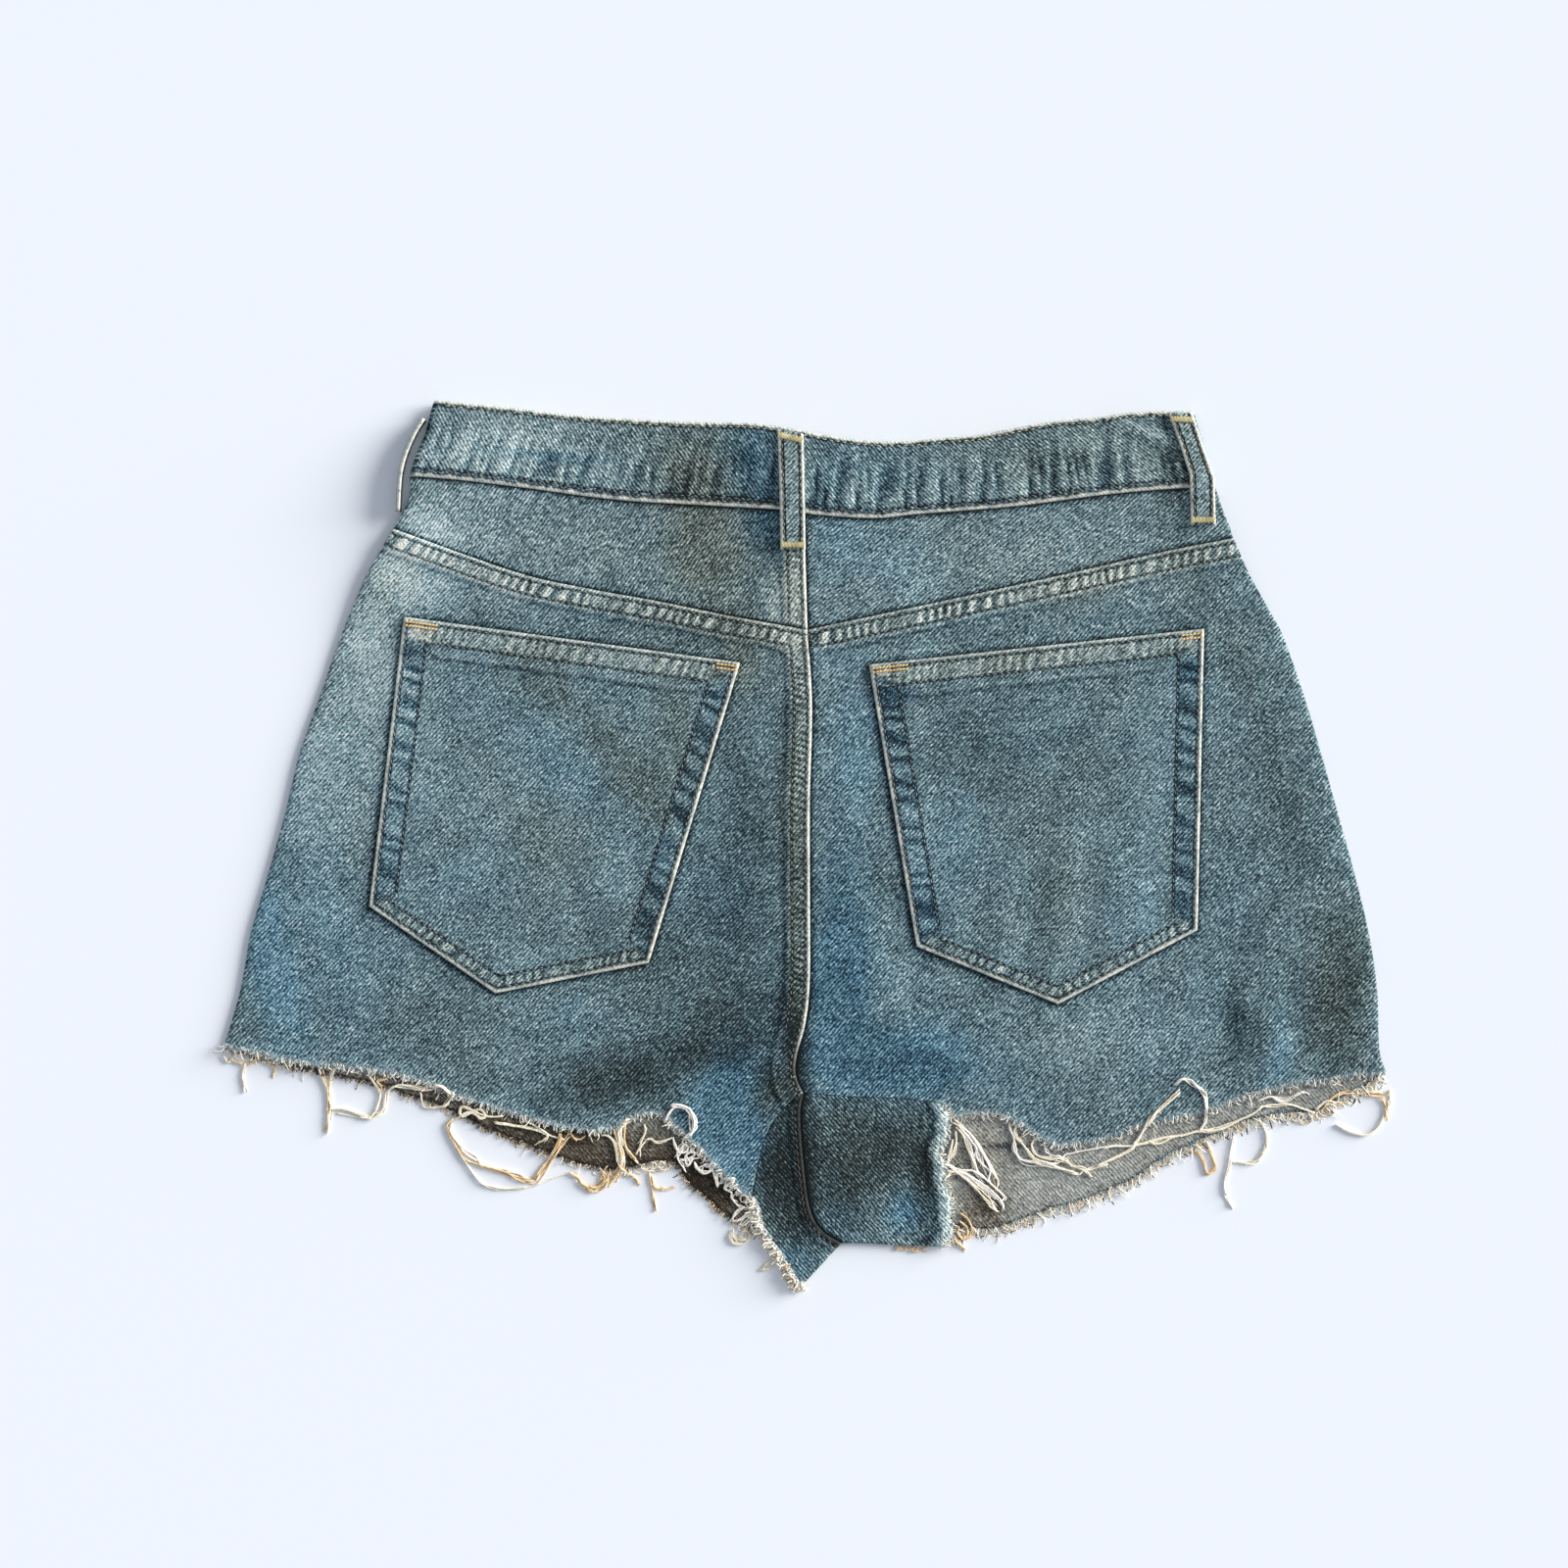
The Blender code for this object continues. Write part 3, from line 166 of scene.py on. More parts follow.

# Stone wash: where the dye is rubbed paler or kept darker, and where it is bluer or browner. The patches
# marked below as painted stand for the shade and light of folds.
WASH_AND_SHADE_PATCHES = (
    # x,    y,   half x, half y, turn,  paler, bluer
    (-202, 86, 24, 58, 20, 0.2, 0.0),         # left hip
    (-228, 36, 22, 44, 18, 0.17, 0.1),
    (-192, 92, 12, 24, 8, 0.09, 0.0),
    (-189, 128, 12, 13, 0, 0.27, -0.2),
    (-246, -50, 13, 46, 14, 0.08, 1.4),
    (-219, -16, 14, 32, 14, -0.03, 0.1),
    (-222, -30, 12, 60, 12, 0.02, 0.3),
    (-190, -80, 40, 20, -10, -0.03, 0.0),
    (-172, 146, 16, 16, 0, 0.25, 0.3),        # left yoke
    (-12, 112, 6, 20, 0, 0.16, -0.4),
    (-176, 116, 16, 10, -12, 0.2, 0.2),
    (-126, 142, 46, 14, -8, 0.08, 0.0),
    (-148, 122, 26, 8, -16, 0.15, 0.0),
    (-90, 110, 44, 6, -10, 0.05, 0.1),
    (-44, 138, 20, 26, -20, -0.09, -1.2),
    (-36, 104, 14, 10, 0, -0.08, -0.5),
    (-19, 148, 8, 14, 12, -0.16, 0.7),
    (16, 140, 14, 14, 0, 0.0, 0.5),           # right yoke
    (44, 132, 20, 14, 0, 0.02, 0.3),
    (100, 132, 50, 14, 10, 0.06, -0.1),
    (132, 121, 30, 8, 12, 0.08, -0.6),
    (176, 128, 14, 12, 10, 0.0, -0.3),
    (-146, 184, 30, 18, 0, 0.18, 0.1),        # waistband
    (-120, 184, 30, 14, -4, 0.09, 0.0),
    (-116, 180, 34, 2.4, -6, -0.1, 0.6),
    (-100, 166, 36, 5, -6, 0.02, -0.1),
    (-54, 172, 18, 20, 0, -0.12, -0.8),
    (-24, 176, 12, 20, 0, -0.17, 0.9),
    (8, 168, 8, 18, 0, -0.1, 0.4),
    (28, 176, 18, 12, 0, -0.02, 0.3),
    (60, 170, 20, 14, 0, -0.02, 0.1),
    (102, 178, 9, 12, 0, -0.07, -0.2),
    (92, 176, 46, 18, 0, -0.05, -0.2),
    (140, 182, 30, 16, 0, 0.04, -0.3),
    (170, 178, 6, 18, -15, -0.14, -0.2),
    (-166, 58, 12, 26, 0, -0.02, 0.1),        # left pocket
    (-112, 36, 11, 52, 48, 0.02, 0.4),
    (-104, 64, 9, 34, 46, -0.06, -0.4),
    (-128, 12, 14, 40, 46, 0.03, -0.3),
    (-60, 60, 12, 30, 10, -0.02, -0.5),
    (-78, 30, 8, 34, 40, -0.04, -0.4),
    (-160, -20, 24, 18, 0, 0.02, 0.3),
    (-70, -52, 20, 34, 0, -0.1, -0.2),
    (-132, 14, 14, 16, 0, -0.04, 0.0),
    (-30, 90, 11, 18, 0, 0.02, -0.8),         # between the left pocket and the seat seam
    (-24, 26, 16, 44, 0, -0.08, -0.2),
    (-34, -26, 22, 36, 8, -0.15, 0.1),
    (-8, 30, 6, 70, 0, -0.06, -0.5),
    # darker along the trough left of the crotch: painted shade
    (-30, -80, 36, 16, 24, -0.23, -0.2),
    (-84, -104, 38, 14, 12, -0.26, -0.5),
    (-108, -76, 10, 14, 0, 0.02, 0.3),
    (-150, -92, 26, 12, -8, 0.0, -0.2),
    (-5, -92, 5, 24, 4, -0.32, -0.1),
    (-15, -112, 9, 14, -30, -0.3, -1.0),
    (-24, -98, 12, 12, 0, -0.1, -0.3),
    (-38, -116, 13, 24, -30, 0.03, 2.1),      # left inner thigh
    (-32, -142, 10, 22, -30, 0.03, 1.8),
    (23, 42, 13, 40, 0, 0.06, 0.7),           # beside the seat seam
    (20, -38, 12, 34, 4, -0.09, 0.9),
    (16, -72, 10, 32, 4, -0.05, 1.5),
    (34, -98, 28, 12, -4, -0.09, 2.2),
    (56, -98, 24, 16, 0, -0.12, 0.5),
    (10, -58, 6, 14, 0, 0.04, 0.8),
    (14, -72, 8, 14, 0, 0.06, 1.0),
    (60, -84, 22, 20, 0, 0.02, 0.3),
    (84, 54, 40, 26, 0, -0.09, -0.1),         # right pocket
    (160, 22, 13, 46, -6, 0.06, 0.2),
    (70, 6, 12, 26, 0, 0.0, 0.3),
    (56, -34, 9, 14, 0, -0.09, 0.2),
    (92, -40, 14, 14, 0, 0.03, 0.1),
    (116, -18, 10, 26, 0, -0.02, -0.4),
    (131, -22, 4, 26, 4, 0.06, -0.1),
    (144, -24, 4, 24, 0, -0.02, 0.1),
    (157, -22, 5, 26, 0, 0.06, 0.3),
    (170, 20, 8, 40, 0, -0.03, 0.0),
    (208, 60, 10, 44, 24, -0.08, -0.2),       # right hip
    (222, 10, 14, 34, 10, -0.08, -0.1),
    (194, -14, 12, 30, 0, -0.07, 0.0),
    (246, -70, 16, 40, -4, -0.2, -0.8),
    (130, -88, 26, 14, 8, 0.1, 0.0),
    (182, -68, 10, 18, 0, 0.06, 0.3),
    (214, -80, 18, 24, 0, -0.05, 0.0),
    # painted shade in the trough above the right hem, and a painted highlight on the ridge beside it
    (197, -82, 6, 30, 4, -0.1, 0.0),
    (218, -94, 6, 16, -12, 0.1, 0.8),
    (100, -112, 34, 10, -8, -0.03, 0.0),
    (-3, -36, 5, 66, 0, -0.1, -0.2),          # the felled seat seam
    (-4, -96, 5, 18, 0, -0.14, -0.3),
    (-6, 95, 5, 6, 0, 0.28, -0.9),            # where it meets the yokes, and the corners of the pockets
    (-106, 90, 76, 5, -7, 0.08, -0.2),
    (106, 88, 76, 5, 6.5, 0.1, -0.4),
    (-178, 99, 6, 5, 0, 0.26, -0.8),
    (-32, 82, 3.5, 3.5, 0, 0.34, -0.9),
    (34, 80, 4.5, 5, 0, 0.28, -0.8),
    (178, 95, 4, 4, 0, 0.3, -0.9),
    (-40, 79.5, 4, 1.4, -8, -0.3, -0.3),
    (171, 90.5, 5, 1.4, 10, -0.3, -0.3),
    (44, 71, 8, 3, 4, -0.24, 0.7),
    (176, 82, 5, 5, 0, -0.22, 0.7),
)
# and on the reverse of the fronts, which shows below the back hems, where most darker patches are painted
# shade
REVERSE_PATCHES = (
    (-110, -135, 90, 16, -14, -0.36, -1.1),   # in the shade of the left hem
    (82, -165, 12, 14, 0, -0.22, -1.0),       # in the shade of the tassel
    (86, -138, 12, 10, 0, -0.03, -0.7),
    (95, -137.5, 17, 1.1, -5, -0.4, 1.5),     # a dark blue line just beneath the right hem
    (-44, -152, 22, 26, -30, -0.36, -1.2),    # in the shade of the left inner thigh
)
# and on the face of the fronts, which lies on the table
FRONT_PATCHES = (
    (-110, 20, 56, 96, 10, 0.1, 0.1),         # rubbed pale over the thighs
    (112, 20, 56, 96, -10, 0.1, 0.1),
    (-44, 128, 40, 16, -14, 0.06, 0.0),       # and below the band
    (50, 126, 40, 16, 14, 0.06, 0.0),
    (-216, 20, 18, 90, 16, -0.08, 0.0),       # darker beside the side seams
    (224, 20, 18, 90, -12, -0.08, 0.0),
    (-22, -130, 26, 40, 0, -0.1, 0.6),        # and at the crotch
    (28, -140, 26, 40, 0, -0.1, 0.6),
)
FLY_STITCH = [(-34, 157), (-34, 60), (-32, 40), (-26, 24), (-14, 12), (0.5, 4)]


def smooth_curve(points, step=EDGE_STEP):
    """A curve through the points, read about every step millimetres."""
    knots = np.array(points, float)
    padded = np.vstack([2 * knots[0] - knots[1], knots, 2 * knots[-1] - knots[-2]])
    runs = []
    for a, b, c, d in zip(padded, padded[1:], padded[2:], padded[3:]):
        pieces = max(1, round(np.linalg.norm(c - b) / step))
        t = (np.arange(pieces) / pieces)[:, None]
        runs.append(0.5 * (2 * b + (c - a) * t + (2 * a - 5 * b + 4 * c - d) * t ** 2
                           + (3 * b - a - 3 * c + d) * t ** 3))
    return np.vstack(runs + [knots[-1:]])


def straight_line(corners, step=EDGE_STEP):
    """Points along straight edges, each cut into equal steps."""
    knots = np.array(corners, float)
    runs = []
    for a, b in zip(knots, knots[1:]):
        pieces = max(1, round(np.linalg.norm(b - a) / step))
        runs.append(a + (b - a) * (np.arange(pieces) / pieces)[:, None])
    return np.vstack(runs + [knots[-1:]])


def closed_outline(*edges):
    """Edges joined end to end into one closed outline, counter-clockwise."""
    least = 0.3 * EDGE_STEP         # points closer than this become one
    kept = []
    for point in np.vstack(edges):
        if not kept or np.linalg.norm(point - kept[-1]) > least:
            kept.append(point)
    if np.linalg.norm(kept[0] - kept[-1]) < least:
        kept.pop()
    return np.array(kept)


def unit(vectors):
    return vectors / np.maximum(np.linalg.norm(vectors, axis=1), 1e-9)[:, None]


def right_of(line):
    """The direction square to a line at each of its points, to its right hand."""
    along = unit(np.gradient(line, axis=0))
    return np.column_stack([along[:, 1], -along[:, 0]])


def beside(line, distance):
    """The line moved to its right hand by the distance."""
    return line + right_of(line) * distance


def shrunk(outline, inwards):
    """A counter-clockwise outline moved inwards."""
    before = unit(outline - np.roll(outline, 1, axis=0))
    after = unit(np.roll(outline, -1, axis=0) - outline)
    normal = np.column_stack([-before[:, 1] - after[:, 1], before[:, 0] + after[:, 0]])
    reach = np.maximum(0.5, (normal ** 2).sum(axis=1) / 2)
    return outline + normal * (inwards / reach)[:, None]


def measure(line, points):
    """For each point its distance to the line, the length run along the line to there, and its side.

    The side is 1 to the left of the line's direction and -1 to the right.
    """
    start = line[:-1]
    span = line[1:] - start
    length = np.maximum(np.linalg.norm(span, axis=1), 1e-9)
    run_before = np.concatenate([[0], np.cumsum(length)[:-1]])
    found = []
    for chunk in np.array_split(points, len(points) * len(line) // 2000000 + 1):
        offset = chunk[:, None, :] - start[None]
        share = np.clip((offset * span).sum(axis=2) / length ** 2, 0, 1)
        distance = np.linalg.norm(offset - share[..., None] * span, axis=2)
        nearest = distance.argmin(axis=1)
        row = np.arange(len(chunk))
        turn = span[nearest, 0] * offset[row, nearest, 1] - span[nearest, 1] * offset[row, nearest, 0]
        found.append((distance[row, nearest], run_before[nearest] + share[row, nearest] * length[nearest],
                      np.where(turn >= 0, 1.0, -1.0)))
    return tuple(np.concatenate(values) for values in zip(*found))


def is_inside(outline, points):
    inside = np.zeros(len(points), bool)
    x, y = points[:, 0], points[:, 1]
    for a, b in zip(outline, np.roll(outline, -1, axis=0)):
        if a[1] != b[1]:
            crosses = ((a[1] > y) != (b[1] > y)) & (x < a[0] + (y - a[1]) / (b[1] - a[1]) * (b[0] - a[0]))
            inside ^= crosses
    return inside


def smooth_step(low, high, value):
    share = np.clip((value - low) / (high - low), 0, 1)
    return share * share * (3 - 2 * share)


def uneven(run, seed, length=30):
    """Slow irregular change along a line, from about -1 to 1."""
    chance = random.Random(seed)
    waves = [(length * chance.uniform(0.4, 1.6), chance.uniform(0, 2 * math.pi)) for _ in range(5)]
    return sum(np.sin(2 * math.pi * run / wave + start) for wave, start in waves) / 2.4


def tree_of(points):
    found = KDTree(len(points))
    for index, point in enumerate(points):
        found.insert((point[0], point[1], 0), index)
    found.balance()
    return found


def lattice(outline, spacing):
    """Even points inside an outline."""
    low = outline.min(axis=0)
    high = outline.max(axis=0)
    rows = np.arange(low[1] + spacing / 2, high[1], spacing * math.sqrt(3) / 2)
    points = []
    for row, y in enumerate(rows):
        x = np.arange(low[0] + spacing / 2 * (row % 2), high[0], spacing)
        points.append(np.column_stack([x, np.full(len(x), y)]))
    points = np.vstack(points)
    return points[is_inside(outline, points)]


def wash_and_shade_at(points, patches, paler=0.0, bluer=0.0):
    """Paler or darker, and bluer or browner, at each point, from patches of dye and of painted shade."""
    pale = np.full(len(points), float(paler))
    blue = np.full(len(points), float(bluer))
    for x, y, half_x, half_y, turn, light, tint in patches:
        angle = math.radians(turn)
        dx, dy = points[:, 0] - x, points[:, 1] - y
        across = (dx * math.cos(angle) + dy * math.sin(angle)) / half_x
        along = (dy * math.cos(angle) - dx * math.sin(angle)) / half_y
        share = np.exp(-across ** 2 - along ** 2)
        pale += light * share
        blue += tint * share
    return pale, blue


def new_piece(name, points, faces, materials, finish=()):
    """A smooth object from points in millimetres, with what its finish says for each of them."""
    mesh = bpy.data.meshes.new(name)
    mesh.from_pydata((np.asarray(points) * MM).tolist(), [], faces)
    for item in materials:
        mesh.materials.append(item)
    mesh.shade_smooth()
    for key, values in dict(finish).items():
        attribute = mesh.attributes.new(key, "FLOAT_VECTOR", "POINT")
        attribute.data.foreach_set("vector", np.asarray(values, np.float32).ravel())
    return new_object(name, mesh)


def ride_as(piece, node=None):
    """Lay the piece on the shorts, in place of its CAD solid where it has one."""
    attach(piece, "root")
    if node:
        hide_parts(node)


class CutPiece:
    """A piece cut from cloth: its flat points and triangles, the rim of its outline, and its finish."""

    def __init__(self, outline, lines=(), reach=9, covered=None, butted=()):
        """Points are close together within reach of the outline and of the lines.

        Edges along the butted lines aren't rounded, because the cloth goes on in the next piece.
        """
        bounds = [outline] + [shrunk(outline, inset) for inset in RIM_ROWS]
        fixed = np.vstack(bounds + [line[is_inside(bounds[-1], line)] for line in lines])
        fixed_tree = tree_of(fixed)
        kept = []
        for spacing in (FINE, COARSE):
            for point in lattice(outline, spacing):
                distance = fixed_tree.find((point[0], point[1], 0))[2]
                if (distance < reach) == (spacing == FINE) and distance > 0.55 * spacing:
                    kept.append(point)
        inner = np.array(kept).reshape(-1, 2)
        if covered is not None:
            grid = lattice(covered, HIDDEN)
            inner = np.vstack([inner[~is_inside(covered, inner)], grid[is_inside(bounds[-1], grid)]])
        count = len(outline)
        edges = [(i, (i + 1) % count) for i in range(count)]
        points = [Vector(p) for p in np.vstack([fixed, inner])]
        flat, _, faces, origins, _, _ = delaunay_2d_cdt(points, edges, [list(range(count))], 1, 1e-5)
        self.outline = outline
        self.flat = np.array(flat)
        self.rim = np.array([any(index < count for index in origin) for origin in origins])
        self.triangles = np.array(faces)
        a, b, c = (self.flat[self.triangles[:, i]] for i in range(3))
        turned = (b[:, 0] - a[:, 0]) * (c[:, 1] - a[:, 1]) - (b[:, 1] - a[:, 1]) * (c[:, 0] - a[:, 0]) < 0
        self.triangles[turned] = self.triangles[turned][:, ::-1]
        self.triangles = self.triangles[~self.rim[self.triangles].all(axis=1)]
        self.inset = measure(np.vstack([outline, outline[:1]]), self.flat)[0]
        for line in butted:
            self.inset[measure(line, self.flat)[0] < CLOTH] = FAR_IN
        self.pucker = np.zeros(len(self.flat))
        blank = np.zeros((len(self.flat), 3))
        self.finish = {"seam": blank + (FAR_IN, 0, 0), "marks": blank.copy(), "step": blank.copy()}
        self.under_finish = {}      # where the under side's differs

    def set_grain(self, bolt, turn=0, mirrored=False):
        """Where each point lies on the cloth, across and along the warp."""
        angle = math.radians(turn)
        x = self.flat[:, 0] * (-1 if mirrored else 1)
        y = self.flat[:, 1]
        self.finish["grain"] = np.column_stack([x * math.cos(angle) + y * math.sin(angle),
                                                y * math.cos(angle) - x * math.sin(angle),
                                                np.full(len(x), 37.0 * bolt)])

    def set_wash_and_shade(self, patches=WASH_AND_SHADE_PATCHES, paler=0.0, bluer=0.0, frayed=(), painted_shadow_lines=(), shade=0.42):
        """Patches of dye and painted shade, a painted shadow line along each line to shade, and fur along the
        frayed ones.
        """
        pale, blue = wash_and_shade_at(self.flat, patches, paler, bluer)
        # painted shadow: a dark line along each of these lines
        for line in painted_shadow_lines:
            pale -= shade * np.exp(-(measure(line, self.flat)[0] / PAINTED_SHADOW_WIDTH) ** 2)
        fur = np.zeros(len(self.flat))
        for line in frayed:
            fur = np.maximum(fur, 1 - smooth_step(0, FUR_WIDTH, measure(line, self.flat)[0]))
        self.finish["wash_and_shade"] = np.column_stack([pale, blue, fur])

    def set_seams(self, seams):
        """Wear along seams, with its painted shade: (line, side, second row, pitch, edge, pale ridges, dark
        hollows, step, grey).

        The side is 1 where the seam lies to the left of the line and -1 to the right. The second row of
        stitches and the step beyond it are distances in from the edge, and pitch is between puckers.
        """
        best = np.full(len(self.flat), 1e9)
        for order, (line, side, second, pitch, edge, pale, dark, step, grey) in enumerate(seams):
            distance, run, found = measure(line, self.flat)
            inwards = np.where(found == side, distance, -distance)
            closer = distance < best
            best[closer] = distance[closer]
            turns = (run + 0.3 * inwards) / pitch + 0.45 * uneven(run, order, 40)
            strength = 0.75 + 0.35 * uneven(run, order + 50, 60)
            amounts = np.column_stack([edge * (0.85 + 0.2 * uneven(run, order + 90, 25)),
                                       pale * strength, dark * strength])
            self.finish["seam"][closer] = np.column_stack([inwards, turns, np.full(len(run), second)])[closer]
            self.finish["marks"][closer] = amounts[closer]
            self.finish["step"][closer] = np.column_stack([inwards - step, np.full(len(run), step > 0),
                                                           np.full(len(run), grey)])[closer]
            ridge = np.sin(2 * math.pi * turns) * smooth_step(0.8, 3, inwards)
            ridge *= 1 - smooth_step(second - 1.5, second + 1.5, inwards)
            self.pucker[closer] = (ridge * (0.3 * pale + 0.3 * dark) * strength)[closer]

    def sew(self, name, under, upper, materials):
        """The piece as a closed wall between its two heights, rounded at its edge."""
        half = (upper - under) / 2
        depth = np.clip(1 - self.inset / half, 0, 1)
        roll = half * (1 - np.sqrt(1 - depth ** 2))
        top = upper - roll
        bottom = under + roll
        rim = self.rim
        count = len(self.flat)
        below = np.arange(count)
        below[~rim] = count + np.arange((~rim).sum())
        top[rim] = ((top + bottom) / 2)[rim]
        points = np.vstack([np.column_stack([self.flat, top]), np.column_stack([self.flat, bottom])[~rim]])
        faces = np.vstack([self.triangles, below[self.triangles][:, ::-1]]).tolist()
        piece = new_piece(name, points, faces, materials, {
            key: np.vstack([values, self.under_finish.get(key, values)[~rim]])
            for key, values in self.finish.items()})
        side = np.repeat([0, len(materials) - 1], len(self.triangles)).astype(np.int32)
        piece.data.polygons.foreach_set("material_index", side)
        piece.data.update()
        return piece

    def declare(self, piece, node, slot, rests_on, with_pieces=()):
        """Lay the cloth in place of the CAD solid that it stands for."""
        ride_as(piece, node)


def raised_front(points):
    """Under side of the front: on the table, and raised at the waist by its loops and the button."""
    from_button = np.hypot(points[:, 0] - BUTTON_AT[0], points[:, 1] - BUTTON_AT[1]) / BUTTON_SPREAD
    raised = WAIST_RAISE * smooth_step(*WAIST_RAISE_BETWEEN, points[:, 1])
    return raised + BUTTON_RAISE * np.exp(-from_button ** 2 / 2)


def plug(socket, value):
    """Link a socket, or set its constant."""
    value = getattr(value, "socket", value)
    if isinstance(value, bpy.types.NodeSocket):
        socket.id_data.links.new(value, socket)
    else:
        socket.default_value = value


def add_node(tree, kind, settings=(), **given):
    """A node with its settings. What goes into its sockets is given by name, with _ for a space."""
    node = tree.nodes.new(kind)
    for key, value in dict(settings).items():
        setattr(node, key, value)
    for key, value in given.items():
        plug(next(s for s in node.inputs if s.name == key.replace("_", " ") and s.enabled), value)
    return node


class Value:
    """What a socket gives. The signs between two of them, or between one and a number, make Math nodes."""

    def __init__(self, socket):
        self.socket = socket
        self.tree = socket.id_data

    def math(self, operation, *others, before=()):
        node = add_node(self.tree, "ShaderNodeMath", {"operation": operation})
        for socket, value in zip(node.inputs, (*before, self, *others)):
            plug(socket, value)
        return Value(node.outputs[0])

    def clamped(self):
        """The same, kept between 0 and 1."""
        self.socket.node.use_clamp = True
        return self

    def __add__(self, other):
        return self.math("ADD", other)

    def __sub__(self, other):
        return self.math("SUBTRACT", other)

    def __rsub__(self, other):
        return self.math("SUBTRACT", before=(other,))

    def __mul__(self, other):
        return self.math("MULTIPLY", other)

    def __truediv__(self, other):
        return self.math("DIVIDE", other)


def peak(value, centre, half_width):
    """1 where the value is at the centre, falling off to both sides."""
    away = (value - centre) / half_width
    return (away * away * -1.0).math("EXPONENT")


def between(value, low, high):
    """0 below low, 1 above high, smooth between."""
    return Value(add_node(value.tree, "ShaderNodeMapRange", {"interpolation_type": "SMOOTHSTEP"}, Value=value,
                          From_Min=low, From_Max=high).outputs["Result"])


def blend(share, first, second):
    """A colour between two, by the share."""
    return Value(add_node(share.tree, "ShaderNodeMix", {"data_type": "RGBA"}, Factor=share, A=first,
                          B=second).outputs[2])


def split(vector):
    return [Value(part) for part in add_node(vector.tree, "ShaderNodeSeparateXYZ", Vector=vector).outputs]


def join(tree, x, y, z=0.0):
    return Value(add_node(tree, "ShaderNodeCombineXYZ", X=x, Y=y, Z=z).outputs[0])


def noise(vector, scale, detail=2.0, roughness=0.5):
    """Noise from about -1 to 1."""
    return Value(add_node(vector.tree, "ShaderNodeTexNoise", Vector=vector, Scale=scale, Detail=detail,
                          Roughness=roughness).outputs["Fac"]) * 4.0 - 2.0


def new_group(name, inputs, outputs):
    """A shader node group that turns vectors into numbers."""
    group = bpy.data.node_groups.new(name, "ShaderNodeTree")
    for key in inputs:
        group.interface.new_socket(key, in_out="INPUT", socket_type="NodeSocketVector")
    for key in outputs:
        group.interface.new_socket(key, in_out="OUTPUT", socket_type="NodeSocketFloat")
    return group, *(Value(socket) for socket in group.nodes.new("NodeGroupInput").outputs[:len(inputs)])


def build_twill_group():
    """Diagonal twill in millimetres: ribs, the paler weft between them, uneven yarns and rubbed clouds."""
    group, grain = new_group("twill weave", ["Grain"], ["Rib", "Speck", "Slub", "Cloud", "Mottle", "Height"])
    rib_pitch = 1.45
    cut_pitch = 0.95
    speck_length = 1.3
    across, along, bolt = split(grain)
    lean = across * -0.743 + along * 0.669
    sway = across * 0.669 + along * 0.743
    phase = lean / rib_pitch + noise(grain, 0.16) * 0.22
    rib = (phase * (2 * math.pi)).math("SINE")
    cut = (along * (2 * math.pi / cut_pitch)).math("SINE")
    cell = join(group, phase.math("FLOOR"), (along / speck_length).math("FLOOR"), bolt)
    speck = Value(add_node(group, "ShaderNodeTexWhiteNoise", Vector=cell).outputs["Value"]) * 2.0 - 1.0
    streak = noise(join(group, lean, sway * 0.55, bolt), 1.0, 1.0)
    clouds = noise(grain, 0.022, 4.0, 0.6)
    add_node(group, "NodeGroupOutput", Rib=rib, Cloud=clouds,
             Speck=streak * 0.8 + (speck * 0.35 + noise(grain, 1.1, 1.0, 0.6) * 0.75),
             Slub=noise(join(group, across * 1.1, along * 0.07, bolt), 1.0),
             Mottle=clouds * 0.9 + noise(grain, 0.09, 1.5, 0.5),
             Height=speck * 0.15 + (rib * 0.5 + cut * 0.18))
    return group


def build_seam_group():
    """Marks on a sewn band, worn ones and painted shade, in millimetres in from its edge.

    The folded edge is rubbed nearly white, each row of stitches lies in a groove darkened with painted shade,
    and between the rows the puckered cloth is rubbed pale on its ridges and stays dark in its hollows.
    Painted shadow lines lie just outside the folded edge and just beyond the step.
    """
    group, seam, marks, step, grain = new_group(
        "seam wear", ["Seam", "Marks", "Step", "Grain"], ["Paler", "Browner", "Edge", "Height"])
    inwards, turns, second = split(seam)
    edge_amount, pale, dark = split(marks)
    beyond_step, has_step, grey = split(step)
    fine = noise(grain, 1.2)
    edge_width = edge_amount * 0.5 + (noise(grain, 0.22) * 0.2 + 0.4)
    broken = (noise(grain, 0.5, 2.0) * 0.6 + 0.84).clamped()
    edge = peak(inwards, 0.5, edge_width) * edge_amount * broken
    has_rows = between(second, 0.5, 1.0)
    rows = (peak(inwards, FIRST_ROW, 0.55) + peak(inwards, second, 0.55)) * has_rows
    cells = (between(inwards, 2.0, 3.0) * between(second, 4.5, 5.0)
             * (1.0 - between(inwards, second - 1.1, second - 0.1)))
    rope = fine * 0.8 + (turns * (2 * math.pi)).math("SINE")
    ropes = (rope.math("MAXIMUM", 0.0) * pale + rope.math("MINIMUM", 0.0) * dark) * cells
    within = between(inwards, -0.2, 0.4) * (1.0 - between(inwards, second, second + 2.0))
    band = within * has_rows * grey
    # the stitch rows darken as painted shade in their grooves; the ropes and the grey band are wear
    paler = rows * -0.56 + ropes + band * 0.3
    paler += peak(beyond_step, -0.5, 1.1) * has_step * (fine * 0.08 + 0.14)
    # painted shadow just beyond the step, and a painted shadow line just outside the folded edge
    paler += peak(beyond_step, 1.6, 1.0) * has_step * -0.1
    paler += peak(inwards, -0.8, 0.75) * edge_amount * -0.4
    add_node(group, "NodeGroupOutput", Paler=paler, Edge=edge, Browner=band,
             Height=edge * 0.15 + (rows * -0.2 + ropes * 0.6))
    return group


twill_weave = build_twill_group()
seam_wear_and_shade = build_seam_group()


